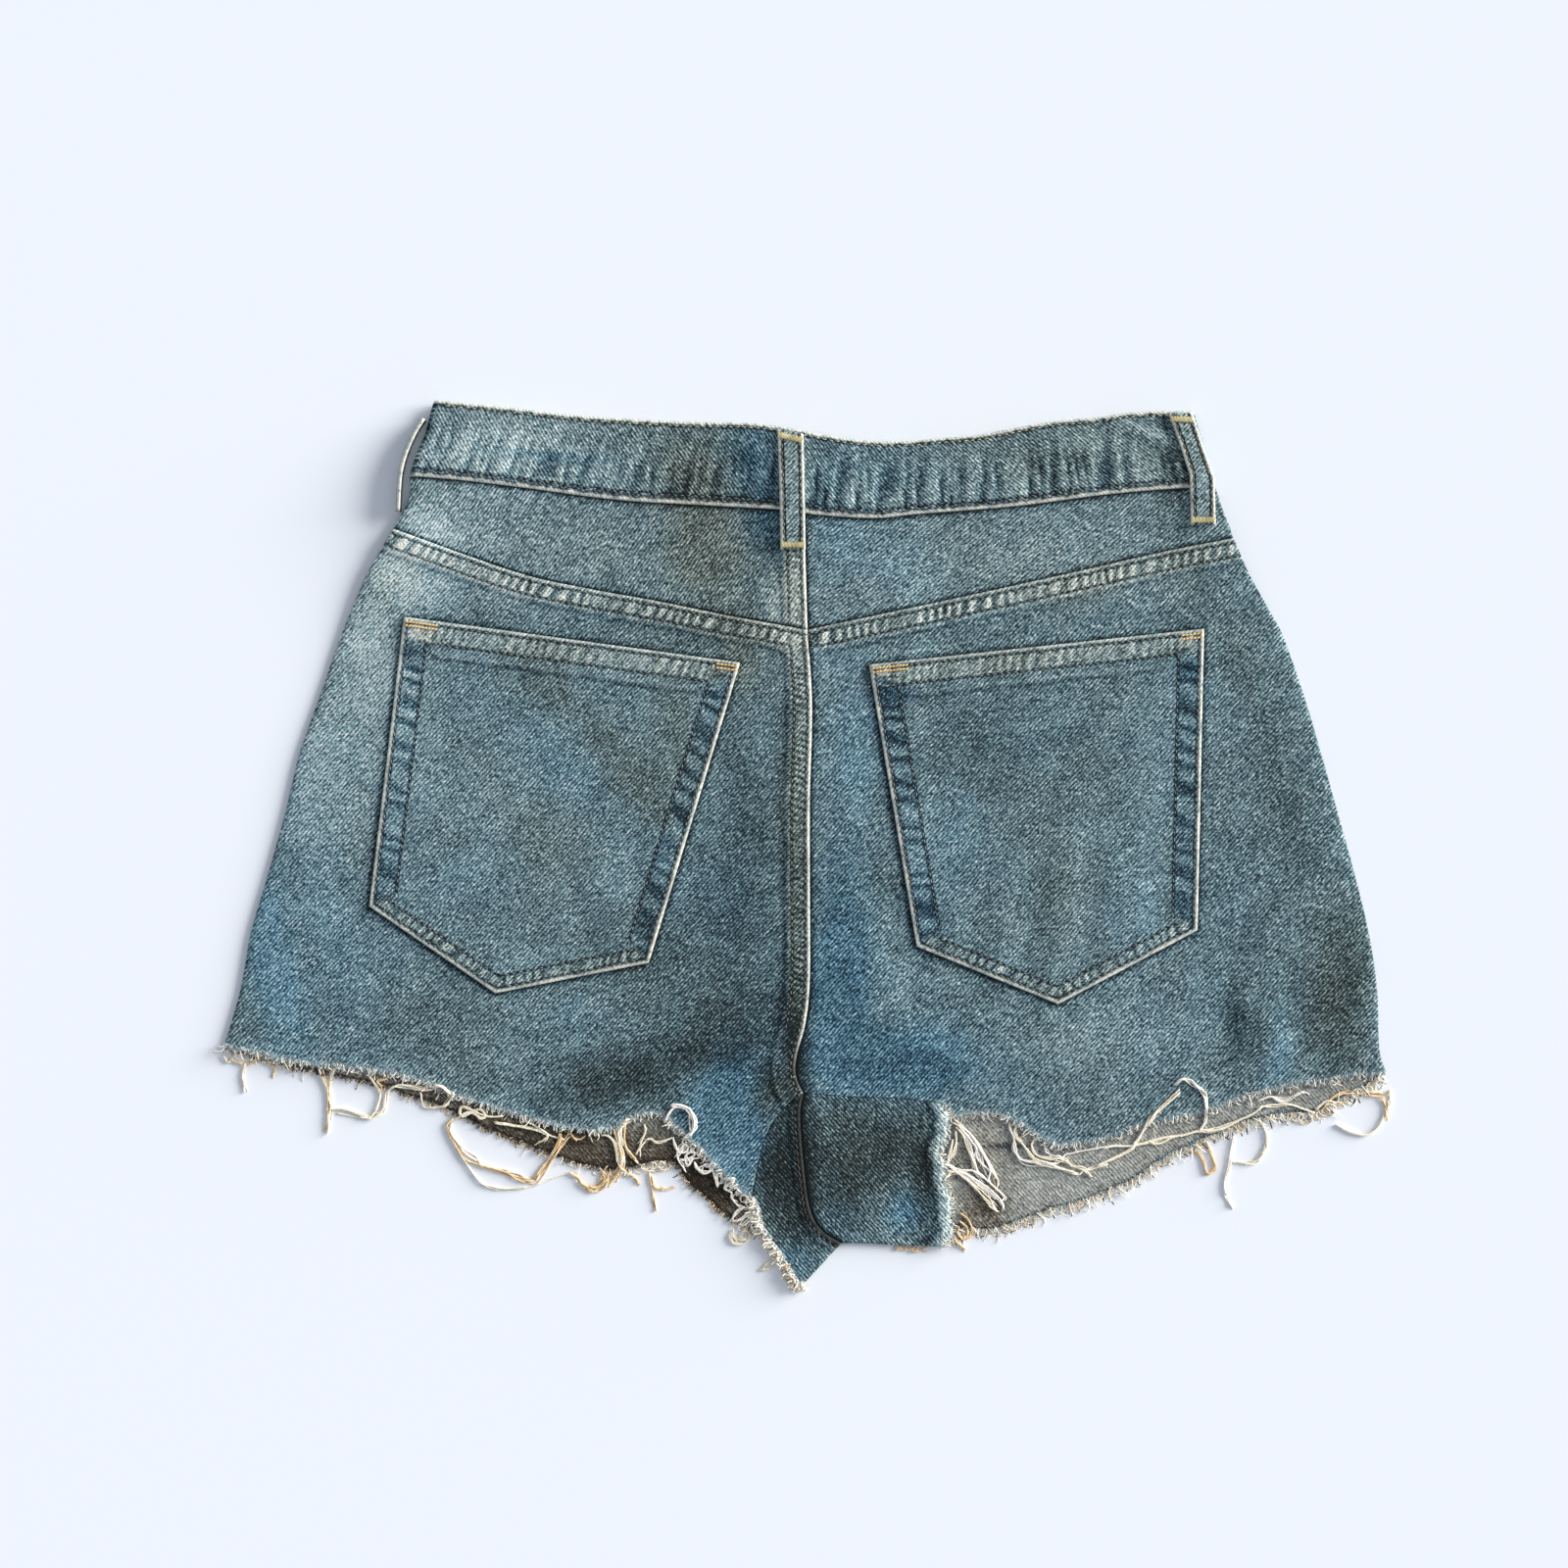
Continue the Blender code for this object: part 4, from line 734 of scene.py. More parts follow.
def dye_ramp(share, stops):
    """Colour from dark to pale dye."""
    node = add_node(share.tree, "ShaderNodeValToRGB", Fac=share)
    points = node.color_ramp.elements
    while len(points) < len(stops):
        points.new(0.5)
    for index, colour in enumerate(stops):
        points[index].position = index / (len(stops) - 1)
        points[index].color = screen_colour(*colour)
    return Value(node.outputs["Color"])


def add_bump(shader, height, distance, strength):
    """Fine relief; a height of 1 stands as far out as the distance."""
    bump = add_node(height.tree, "ShaderNodeBump", Height=height, Distance=distance, Strength=strength)
    plug(shader.inputs["Normal"], bump.outputs["Normal"])


def denim(name, blues, browns, base, rib_depth, speck_depth, weft_colour):
    """Washed denim whose colour runs from dark to pale dye, with its twill, its stone-washed patches, its
    seams, and the painted shade that these carry.
    """
    made, shader = new_finish(name, Roughness=0.92, Specular_IOR_Level=0.18, Sheen_Weight=0.1,
                              Sheen_Roughness=0.5)
    grain, wash_and_shade, seam, marks, step = (
        Value(add_node(made.node_tree, "ShaderNodeAttribute", {"attribute_name": key}).outputs["Vector"])
        for key in ("grain", "wash_and_shade", "seam", "marks", "step"))
    groups = (add_node(made.node_tree, "ShaderNodeGroup", {"node_tree": twill_weave}, Grain=grain),
              add_node(made.node_tree, "ShaderNodeGroup", {"node_tree": seam_wear_and_shade}, Seam=seam, Marks=marks,
                       Step=step, Grain=grain))
    weave, wear_and_shade = ({socket.name: Value(socket) for socket in node.outputs} for node in groups)
    paler, bluer, furry = split(wash_and_shade)
    weft = screen_colour(*weft_colour)
    # the seam marks and the patches carry painted shade as well as wear and dye
    share = (paler + base + weave["Rib"] * rib_depth + weave["Speck"] * speck_depth + weave["Slub"] * 0.035
             + weave["Mottle"] * 0.055 + wear_and_shade["Paler"])
    browner = bluer * -0.5 + 0.5 + weave["Cloud"] * -0.15 + wear_and_shade["Browner"] + wear_and_shade["Paler"] * 0.6
    cloth = blend(browner.clamped(), dye_ramp(share, blues), dye_ramp(share, browns))
    cloth = blend((wear_and_shade["Edge"] * 0.95).clamped(), cloth, weft)
    cloth = blend((furry * furry * (weave["Speck"] * 0.5 + 0.55)).clamped(), cloth, weft)
    plug(shader.inputs["Base Color"], cloth)
    add_bump(shader, weave["Height"] * 0.11 + wear_and_shade["Height"], MM, 0.9)
    return made


denim_face = denim(
    "denim face",
    [(12, 26, 36), (41, 76, 96), (92, 132, 150), (152, 187, 200), (226, 235, 234)],
    [(18, 24, 23), (57, 68, 65), (112, 127, 123), (168, 180, 174), (232, 232, 222)],
    base=0.415, rib_depth=0.17, speck_depth=0.32, weft_colour=(222, 222, 210))
denim_reverse = denim(
    "denim reverse",
    [(34, 38, 40), (90, 98, 100), (146, 154, 156), (186, 192, 190), (228, 230, 224)],
    [(36, 30, 24), (82, 74, 62), (138, 134, 122), (184, 180, 168), (226, 222, 210)],
    base=0.53, rib_depth=0.08, speck_depth=0.24, weft_colour=(206, 204, 196))


def ruffled(line, seed, amount=0.45):
    """A raw cut edge, with its small nicks."""
    rough = np.random.default_rng(seed).normal(0, 1, len(line))
    rough = 0.6 * rough + 0.4 * np.convolve(rough, np.ones(5) / 2.2, "same")
    rough[:2] = rough[-2:] = 0
    return beside(line, (rough * amount)[:, None])


side_seams = (smooth_curve(SIDE_LEFT_YOKE[:-1] + SIDE_LEFT_PANEL),
              smooth_curve(SIDE_RIGHT_YOKE[:-1] + SIDE_RIGHT_PANEL))


def side_turn(points):
    """How far the cloth rounds off at the side seams, where front and back are sewn together."""
    near = np.minimum(*(measure(seam, points)[0] for seam in side_seams))
    return SIDE_TURN * (1 - np.sqrt(1 - np.clip(1 - near / SIDE_TURN_REACH, 0, 1) ** 2))


front_hems = {"left": ruffled(smooth_curve(HEM_FRONT_LEFT), 11),
              "right": ruffled(smooth_curve(HEM_FRONT_RIGHT), 12)}
front_centre = smooth_curve(FRONT_CENTRE)
front_outlines = {
    "left": closed_outline(smooth_curve(SIDE_LEFT_YOKE), smooth_curve(SIDE_LEFT_PANEL), front_hems["left"],
                           smooth_curve(FOLD_LEFT), front_centre, smooth_curve(WAIST_SEAM_LEFT)[::-1]),
    "right": closed_outline(front_centre[::-1], smooth_curve(FOLD_RIGHT), front_hems["right"],
                            smooth_curve(SIDE_RIGHT_PANEL)[::-1], smooth_curve(SIDE_RIGHT_YOKE)[::-1],
                            smooth_curve(WAIST_SEAM_RIGHT)[::-1]),
}
fronts = []
for bolt, side in enumerate(("left", "right")):
    cut = CutPiece(shrunk(front_outlines[side], GAP / 2), reach=7)
    cut.set_grain(bolt, mirrored=True)
    cut.set_wash_and_shade(FRONT_PATCHES, frayed=[front_hems[side]])
    cut.under_finish["wash_and_shade"] = cut.finish["wash_and_shade"]
    # painted shade below the back hems, and a dark line along each front hem
    cut.set_wash_and_shade(REVERSE_PATCHES, painted_shadow_lines=[front_hems[side]])
    if side == "left":
        cut.set_seams([(front_centre, 1, 7.4, 5.8, 0.8, 0.2, 0.25, 8.6, 0),
                       (smooth_curve(FLY_STITCH), 1, FELL_ROW, 5.0, 0, 0.1, 0.15, 0, 0)])
    panel = cut.sew("front_cloth_" + side, raised_front(cut.flat) + side_turn(cut.flat),
                    raised_front(cut.flat) + CLOTH, [denim_reverse, denim_face])
    cut.declare(panel, "front_panel_" + side, "denim_inside", [])
    fronts.append(panel)


# ---------------------------------------------------------------- fly
# Behind the front closure: a shield of denim and the woven tape of the zip. Both are hidden between the
# front and the back, sewn to the fronts, and are finished plainly.

FLY_SHIELD = [(2, 146), (2, 4), (14, 6), (28, 20), (37, 44), (39, 80), (39, 146)]
FLY_ZIP = [(-22, 142), (-22, 12), (1.7, 12), (1.7, 142)]
TAPE_WALL = 1.0


def own_place(tree):
    """Where a point lies on its own object."""
    return Value(add_node(tree, "ShaderNodeTexCoord").outputs["Object"])


zip_tape, tape_shader = new_finish("zip tape", Roughness=0.8)
tape_lines = add_node(zip_tape.node_tree, "ShaderNodeTexWave", {"bands_direction": "Y"}, Scale=320,
                      Vector=own_place(zip_tape.node_tree))
plug(tape_shader.inputs["Base Color"],
     dye_ramp(Value(tape_lines.outputs["Fac"]), [(52, 60, 72), (86, 94, 106)]))

for node, corners, wall, slot, finish in (
        ("fly_shield", FLY_SHIELD, CLOTH, "denim_inside", [denim_reverse, denim_face]),
        ("fly_zip", FLY_ZIP, TAPE_WALL, "zip_tape", [zip_tape])):
    cut = CutPiece(closed_outline(straight_line(corners + corners[:1])), reach=2)
    cut.set_grain(3)
    cut.set_wash_and_shade(())
    under = raised_front(cut.flat) + CLOTH + GAP
    piece = cut.sew(node + "_cloth", under, under + wall, finish)
    cut.declare(piece, node, slot, fronts)


# ---------------------------------------------------------------- waist button
# A turned brass button with a broad plain head, which lies on the table under the waistband. Its shank goes
# up into the front of the band.

BUTTON_PROFILE = [(5.6, 0), (6.9, 0.12), (7.9, 0.42), (8.4, 0.8), (8.5, 1.15), (8.3, 1.55),
                  (7.7, 1.9), (6.2, 2.05), (4.0, 2.05), (3.5, 2.2), (3.4, 2.95), (3.2, 3.0)]
BUTTON_SIDES = 48

brass, brass_shader = new_finish("worn brass", Metallic=1.0)
brass_wear = noise(own_place(brass.node_tree), 420, 4.0)
plug(brass_shader.inputs["Base Color"],
     dye_ramp(brass_wear * 0.35 + 0.5, [(110, 82, 50), (176, 140, 96), (206, 176, 130)]))
plug(brass_shader.inputs["Roughness"], brass_wear * -0.1 + 0.36)

turns = np.linspace(0, 2 * math.pi, BUTTON_SIDES, endpoint=False)
points = [(*BUTTON_AT, 0), (*BUTTON_AT, BUTTON_PROFILE[-1][1])]
for radius, height in BUTTON_PROFILE:
    points += [(BUTTON_AT[0] + radius * math.cos(a), BUTTON_AT[1] + radius * math.sin(a), height)
               for a in turns]
faces = []
last_ring = 2 + (len(BUTTON_PROFILE) - 1) * BUTTON_SIDES
for index in range(BUTTON_SIDES):
    after = (index + 1) % BUTTON_SIDES
    for ring in range(2, last_ring, BUTTON_SIDES):
        faces.append((ring + index, ring + after, ring + after + BUTTON_SIDES, ring + index + BUTTON_SIDES))
    faces.append((0, 2 + after, 2 + index))
    faces.append((1, last_ring + index, last_ring + after))
ride_as(new_piece("waist_button_turned", points, faces, [brass]), "waist_button")


# ---------------------------------------------------------------- back panels
# The two backs lie face up over the fronts, flat-felled to each other along the seat seam and to the yokes
# above. Their hems are raw. Their folds are soft and uneven, and each felled seam puckers between its rows.

YOKE_SEAM_LEFT = [(-189.5, 147), (-133, 127), (-100, 119.5), (-67, 113.5), (-32.5, 106.5), (1, 100.5)]
YOKE_SEAM_RIGHT = [(1, 100.5), (52.5, 111.5), (110, 124), (167.5, 137), (196.5, 142.5)]
SEAT_SEAM_YOKE = [(-0.5, 154), (0, 135.5), (1, 100.5)]
SEAT_SEAM_PANEL = [(1, 100.5), (3, 65), (2, 23.5), (2, -18), (2, -59.5), (0, -80), (-4, -95), (-4.5, -104),
                   (-1, -112.5)]
INSEAM_LEFT = [(-1, -112.5), (-10, -119), (-18.5, -132.5), (-23, -150.5), (-25, -161)]
INSEAM_RIGHT = [(-1, -112.5), (21.5, -114), (44, -115), (63, -117.5)]
HEM_BACK_LEFT = [(-267.5, -91), (-250, -95), (-232, -98.5), (-201.5, -102), (-177.5, -107), (-159.5, -114.5),
                 (-135.5, -121.5), (-111, -128.5), (-92, -130), (-79.5, -123.5), (-65, -123.5),
                 (-57.5, -131.5), (-41.5, -146), (-30.5, -157.5), (-25, -161)]
HEM_BACK_RIGHT = [(63, -117.5), (68, -123.5), (79, -121.5), (88, -123), (98, -126.5), (108.5, -133.5),
                  (119, -137), (138, -132.5), (164, -125.5), (190, -119), (203, -114), (222.5, -109),
                  (241.5, -106), (267.5, -104)]
HEM_TURNUP_LEFT = [(-25, -161), (-21, -173), (-14.5, -184.5), (-4.5, -200), (-1, -200.5)]
HEM_TURNUP_RIGHT = [(63, -183), (67.5, -178), (66.5, -166.5), (65, -153), (63, -139.5), (66, -124),
                    (63, -117.5)]
POCKETS = {
    "left": [(-184.5, 106.5), (-30, 85.5), (-72, -52.5), (-142.5, -66.5), (-200.5, -26.5)],
    "right": [(29, 84.5), (183, 101), (180, -37.5), (116, -71.5), (51, -45)],
}
FELL_RISE = 0.9                 # of the extra layers in a felled seam
FELL_WIDTH = 10.2
FELL_SLOPE = 1.0
YOKE_LIFT = 1.6                 # of the back, by the band at the waist
YOKE_LIFT_BETWEEN = (95, 148)
SHIELD_LIFT = 1.5               # and by the fly shield under it
SHIELD_CENTRE = (12, 72)
SHIELD_REACH = (52, 100)
SHIELD_FLAT = 0.62
BILLOW = 1.0                    # the air between front and back
BILLOW_REACH = 40
BILLOW_AT_EDGE = 4
HEM_CURL = 0.45                 # the raw hems curl up a little
HEM_CURL_WIDTH = 3.5
SEAT_EDGE_FADES = (-104, -80)   # where the rubbed edge of the seat seam fades towards the crotch
SEAT_ROW_ENDS = -82             # and where its second row of stitches runs out
CLOSE_JOIN = 0.02               # left between pieces that are sewn edge to edge
OVERHEAD = 40                   # rays start this high above the table
BACK_FOLDS = (
    # start,        end,          height, half width
    ((200, -66), (222, -106), 1.9, 9),       # ridge above the right hem
    ((198, -50), (192, -104), -1.0, 8),      # trough beside it
    ((203, -26), (235, 14), -1.0, 12),       # slanting hollow at the right hip
    ((214, -38), (246, 4), 1.1, 11),         # and the ridge below it
    ((22, -58), (50, -104), 1.4, 15),        # fullness right of the crotch
    ((-55, -104), (-8, -66), -1.0, 13),      # hollow left of the crotch
    ((-84, -112), (-30, -84), 1.5, 12),      # ridge beside that hollow
    ((-46, -138), (-22, -112), 1.2, 10),     # fullness of the left inner thigh
    ((10, -130), (30, -172), 1.2, 12),       # fullness of the right turn-up
    ((92, -8), (88, -48), 0.8, 8),           # creases in the lower half of the right pocket
    ((118, -2), (112, -58), 0.9, 8),
    ((142, -4), (140, -46), 0.8, 8),
    ((-96, -4), (-84, -44), 0.8, 9),         # crease in the left pocket
    ((-224, 40), (-238, -30), 0.9, 14),      # side of the left leg
    ((-170, -72), (-120, -108), -0.8, 15),   # hollow above the left hem
    # smaller ones
    ((104, -14), (101, -54), -0.35, 5),      # between the creases of the right pocket
    ((130, -10), (128, -52), -0.35, 5),
    ((154, -12), (156, -38), 0.3, 5),
    ((-112, -8), (-102, -46), -0.3, 6),
    ((-66, 40), (-74, -6), 0.3, 7),
    ((206, -70), (213, -104), -0.45, 4),
    ((228, -84), (236, -104), -0.4, 5),
    ((-206, -66), (-214, -92), 0.4, 7),
    ((-150, -92), (-146, -112), 0.35, 6),
    ((-108, -104), (-104, -124), 0.35, 6),
    ((36, -88), (58, -110), -0.4, 6),
    ((-20, -18), (-24, -62), 0.35, 8),
    ((22, 40), (18, -30), 0.3, 7),
)


def folded(folds, points):
    """Sum of the soft ridges and hollows; each fades out over its own width at both ends."""
    total = np.zeros(len(points))
    for start, end, height, half_width in folds:
        distance = measure(np.array([start, end], float), points)[0]
        total += height * np.exp(-(distance / half_width) ** 2)
    return total


back_edge = closed_outline(*(smooth_curve(line, 6) for line in (
    SIDE_LEFT_PANEL, HEM_BACK_LEFT, HEM_TURNUP_LEFT, FOLD_LEFT, FOLD_RIGHT, HEM_TURNUP_RIGHT, HEM_BACK_RIGHT,
    SIDE_RIGHT_PANEL[::-1])))
back_edge = np.vstack([back_edge, back_edge[:1]])
raw_hems = [smooth_curve(line, 3)
            for line in (HEM_BACK_LEFT, HEM_TURNUP_LEFT, HEM_TURNUP_RIGHT, HEM_BACK_RIGHT)]


def back_under(points):
    """Under side of the back, over the front, the fly shield and a little air, with its folds."""
    near_waist = smooth_step(*YOKE_LIFT_BETWEEN, points[:, 1])
    across = (points[:, 0] - SHIELD_CENTRE[0]) / SHIELD_REACH[0]
    down = (points[:, 1] - SHIELD_CENTRE[1]) / SHIELD_REACH[1]
    over_shield = SHIELD_LIFT * (1 - smooth_step(SHIELD_FLAT, 1.0, (across ** 4 + down ** 4) ** 0.25))
    stacked = ((YOKE_LIFT * near_waist) ** 6 + over_shield ** 6) ** (1 / 6)
    inwards = measure(back_edge, points)[0]
    air = (BILLOW + folded(BACK_FOLDS, points)) * smooth_step(0, BILLOW_REACH, inwards + BILLOW_AT_EDGE)
    curl = np.zeros(len(points))
    for order, hem in enumerate(raw_hems):
        distance, run, _ = measure(hem, points)
        wave = HEM_CURL * (0.6 + 0.6 * uneven(run, order + 20, 18))
        curl = np.maximum(curl, wave * np.exp(-(distance / HEM_CURL_WIDTH) ** 2))
    return (raised_front(points) + CLOTH + GAP + stacked + np.maximum(0, air) * (1 - near_waist)
            + np.maximum(0, curl))


def fell_rise(seams, points):
    """The extra layers of a felled seam, up to the step beyond its second row of stitches."""
    rise = np.zeros(len(points))
    for line, side, width in seams:
        distance, _, found = measure(line, points)
        inwards = np.where(found == side, distance, -distance)
        share = (inwards > -GAP) * (1 - smooth_step(width, width + FELL_SLOPE, inwards))
        rise = np.maximum(rise, share)
    return FELL_RISE * rise


def surface_of(*pieces):
    """What a ray from above or below meets: the pieces' triangles, in millimetres."""
    points = []
    faces = []
    count = 0
    for piece in pieces:
        mesh = piece.data
        mesh.calc_loop_triangles()
        places = np.empty(len(mesh.vertices) * 3, np.float32)
        corners = np.empty(len(mesh.loop_triangles) * 3, np.int32)
        mesh.vertices.foreach_get("co", places)
        mesh.loop_triangles.foreach_get("vertices", corners)
        faces.append(corners.reshape(-1, 3) + count)
        points.append(places.reshape(-1, 3) / MM)
        count += len(mesh.vertices)
    return BVHTree.FromPolygons(np.vstack(points).tolist(), np.vstack(faces).tolist())


def laid_on(line, surface, above):
    """Runs of a line laid on a surface, in millimetres; a run ends where nothing lies under it."""
    runs = [[]]
    for x, y in line:
        place = surface.ray_cast((x, y, OVERHEAD), (0, 0, -1))[0]
        if place is None:
            runs.append([])
        else:
            runs[-1].append((x, y, place.z + above))
    return [np.array(run) for run in runs if len(run) > 1]


def new_grower(name, *amounts):
    """A Geometry Nodes tree that turns lines into something that follows them."""
    group = bpy.data.node_groups.new(name, "GeometryNodeTree")
    for key, kind in (("Lines", "Geometry"), *((amount, "Float") for amount in amounts),
                      ("Thread", "Material"), ("Seed", "Int")):
        group.interface.new_socket(key, in_out="INPUT", socket_type="NodeSocket" + kind)
    group.interface.new_socket("Made", in_out="OUTPUT", socket_type="NodeSocketGeometry")
    return group, group.nodes.new("NodeGroupInput").outputs


def follow_lines(group, given, instance, direction, swing, slant=0.0, scale=(1, 1, 1), pick=False):
    """An instance at even steps along the lines, turned to the direction and unevenly by up to the swing."""
    curve = add_node(group, "GeometryNodeMeshToCurve", Mesh=given["Lines"])
    places = add_node(group, "GeometryNodeResampleCurve", {"mode": "LENGTH"}, Curve=curve.outputs[0],
                      Length=given["Pitch"])
    aligned = add_node(group, "FunctionNodeAlignRotationToVector", {"axis": "X"}, Vector=direction)
    swung = add_node(group, "FunctionNodeRandomValue", {"data_type": "FLOAT_VECTOR"}, Seed=given["Seed"],
                     Min=join(group, *(-angle for angle in swing)), Max=join(group, *swing))
    both = add_node(group, "ShaderNodeVectorMath", {"operation": "ADD"})
    plug(both.inputs[0], swung.outputs["Value"])
    plug(both.inputs[1], join(group, 0.0, 0.0, slant))
    euler = add_node(group, "FunctionNodeEulerToRotation", Euler=both.outputs[0])
    turned = add_node(group, "FunctionNodeRotateRotation", {"rotation_space": "LOCAL"},
                      Rotation=aligned.outputs[0], Rotate_By=euler.outputs[0])
    placed = add_node(group, "GeometryNodeInstanceOnPoints", Points=places.outputs[0], Instance=instance,
                      Pick_Instance=pick, Rotation=turned.outputs[0], Scale=scale)
    realized = add_node(group, "GeometryNodeRealizeInstances", Geometry=placed.outputs[0])
    smooth = add_node(group, "GeometryNodeSetShadeSmooth", Geometry=realized.outputs[0])
    finished = add_node(group, "GeometryNodeSetMaterial", Geometry=smooth.outputs[0],
                        Material=given["Thread"])
    add_node(group, "NodeGroupOutput", Made=finished.outputs[0])
    return group


def build_stitch_grower():
    """A row of sewn stitches: plump short threads end to end along each line."""
    group, given = new_grower("stitch rows", "Pitch", "Length", "Width", "Slant")
    ball = add_node(group, "GeometryNodeMeshUVSphere", Segments=6, Rings=4, Radius=0.5)
    stitch = add_node(group, "GeometryNodeTransform", Geometry=ball.outputs["Mesh"],
                      Scale=join(group, given["Length"], given["Width"], given["Width"]))
    tangent = add_node(group, "GeometryNodeInputTangent")
    return follow_lines(group, given, stitch.outputs[0], tangent.outputs[0], (0.0, 0.04, 0.06),
                        given["Slant"])


def grown(name, grower, lines, outwards=None, **inputs):
    """What a grower makes along lines of points in millimetres, as a plain mesh object."""
    breaks = set(np.cumsum([len(line) for line in lines]).tolist())
    points = (np.vstack(lines) * MM).tolist()
    mesh = bpy.data.meshes.new(name + " lines")
    mesh.from_pydata(points, [(i, i + 1) for i in range(len(points) - 1) if i + 1 not in breaks], [])
    if outwards is not None:
        away = mesh.attributes.new("outwards", "FLOAT_VECTOR", "POINT")
        away.data.foreach_set("vector", outwards.astype(np.float32).ravel())
    piece = new_object(name, mesh)
    modifier = piece.modifiers.new("made", "NODES")
    modifier.node_group = grower
    identifiers = {item.name: item.identifier for item in grower.interface.items_tree}
    for key, value in inputs.items():
        modifier[identifiers[key]] = value
    evaluated = piece.evaluated_get(bpy.context.evaluated_depsgraph_get())
    plain = bpy.data.meshes.new_from_object(evaluated)
    piece.modifiers.clear()
    piece.data = plain
    plain.name = name
    plain.materials.clear()
    plain.materials.append(inputs["Thread"])
    plain.polygons.foreach_set("material_index", np.zeros(len(plain.polygons), np.int32))
    bpy.data.meshes.remove(mesh)
    return piece


def thread_finish(name, colours):
    """Twisted cotton thread whose colour changes from place to place."""
    made, shader = new_finish(name, Roughness=0.75, Specular_IOR_Level=0.25, Sheen_Weight=0.15)
    place = own_place(made.node_tree)
    plug(shader.inputs["Base Color"], dye_ramp(noise(place, 260, 3.0, 0.6) * 0.32 + 0.5, colours))
    add_bump(shader, noise(place, 2600), 0.08 * MM, 0.6)
    return made


stitch_grower = build_stitch_grower()
seam_thread = thread_finish("seam thread", [(54, 60, 62), (92, 98, 98), (134, 138, 132), (180, 182, 170)])
loop_tack_thread = thread_finish("belt loop tack thread",
                                 [(146, 134, 92), (194, 182, 130), (226, 214, 166), (240, 234, 204)])
tack_thread = thread_finish("bar tack thread",
                            [(168, 108, 56), (204, 158, 96), (226, 198, 140), (238, 222, 180)])


def stitches(name, rows, cloth, seed, thread=seam_thread, above=0.06, pitch=3.1, length=2.0, width=0.62,
             slant=0.0):
    """Rows of stitches on a piece of cloth."""
    surface = surface_of(cloth)
    piece = grown(name, stitch_grower, [run for row in rows for run in laid_on(row, surface, above)],
                  Pitch=pitch * MM, Length=length * MM, Width=width * MM, Slant=slant, Thread=thread,
                  Seed=seed)
    ride_as(piece)
    return piece


def rows_of(seams):
    """The two rows of stitches of each seam."""
    return [beside(line, -side * inset) for line, side, second, *_ in seams for inset in (FIRST_ROW, second)]


yoke_seams = {"left": smooth_curve(YOKE_SEAM_LEFT), "right": smooth_curve(YOKE_SEAM_RIGHT)}
seat_seam = smooth_curve(SEAT_SEAM_PANEL)
inseams = {"left": smooth_curve(INSEAM_LEFT), "right": smooth_curve(INSEAM_RIGHT)}
back_hems = {"left": ruffled(smooth_curve(HEM_BACK_LEFT), 21),
             "right": ruffled(smooth_curve(HEM_BACK_RIGHT), 22)}
back_outlines = {
    "left": closed_outline(smooth_curve(SIDE_LEFT_PANEL), back_hems["left"], inseams["left"][::-1],
                           seat_seam[::-1], yoke_seams["left"][::-1]),
    "right": closed_outline(seat_seam, inseams["right"], back_hems["right"],
                            smooth_curve(SIDE_RIGHT_PANEL)[::-1], yoke_seams["right"][::-1]),
}
backs = {}
for bolt, side in enumerate(("left", "right"), start=4):
    pocket = straight_line(POCKETS[side] + POCKETS[side][:1])
    cut = CutPiece(shrunk(back_outlines[side], CLOSE_JOIN),
                   [pocket, beside(yoke_seams[side], FELL_WIDTH + 0.5)],
                   covered=shrunk(closed_outline(pocket)[::-1], 7), butted=[inseams[side]])
    cut.set_grain(bolt)
    # painted shadow lines round the pocket, and on the right back also beside the seat seam
    cut.set_wash_and_shade(frayed=[back_hems[side]], painted_shadow_lines=[pocket, seat_seam] if side == "right" else [pocket])
    seams = [(yoke_seams[side], -1, FELL_ROW, 5.5, 0.32, 0.32, 0.26, FELL_WIDTH, 0.3)]
    fells = [(yoke_seams[side], -1, FELL_WIDTH)]
    if side == "left":
        seams.append((seat_seam, -1, FELL_ROW, 3.1, 1.0, 0.13, 0.2, FELL_WIDTH, 0.3))
        fells.append((seat_seam, -1, FELL_WIDTH))
    cut.set_seams(seams)
    if side == "left":
        cut.finish["marks"][:, 0] *= 0.08 + 0.92 * smooth_step(*SEAT_EDGE_FADES, cut.flat[:, 1])
        cut.finish["seam"][(cut.flat[:, 1] < SEAT_ROW_ENDS) & (cut.finish["seam"][:, 0] > 5), 0] = FAR_IN
    under = back_under(cut.flat)
    upper = under + CLOTH + fell_rise(fells, cut.flat) + cut.pucker - side_turn(cut.flat)
    panel = cut.sew("back_cloth_" + side, under, upper, [denim_face, denim_reverse])
    sewn = rows_of(seams)
    if side == "left":
        sewn[-1] = sewn[-1][sewn[-1][:, 1] > SEAT_ROW_ENDS]
    thread = stitches("back_stitches_" + side, sewn, panel, bolt)
    cut.declare(panel, "back_panel_" + side, "denim", fronts, [thread])
    backs[side] = panel


# ---------------------------------------------------------------- back pockets
# Two patch pockets of the same denim with their edges pressed under. Each has a deep double-stitched hem at
# its mouth, bar tacks at the mouth's corners, and two rows of stitches round the other sides.

MOUTH_DEPTH = 15.5
MOUTH_RISE = 0.8
TACK_ROWS = (2.1, 3.9)          # down from the mouth's edge
TACK_LENGTHS = {"left": (15.5, 11), "right": (16.5, 11)}

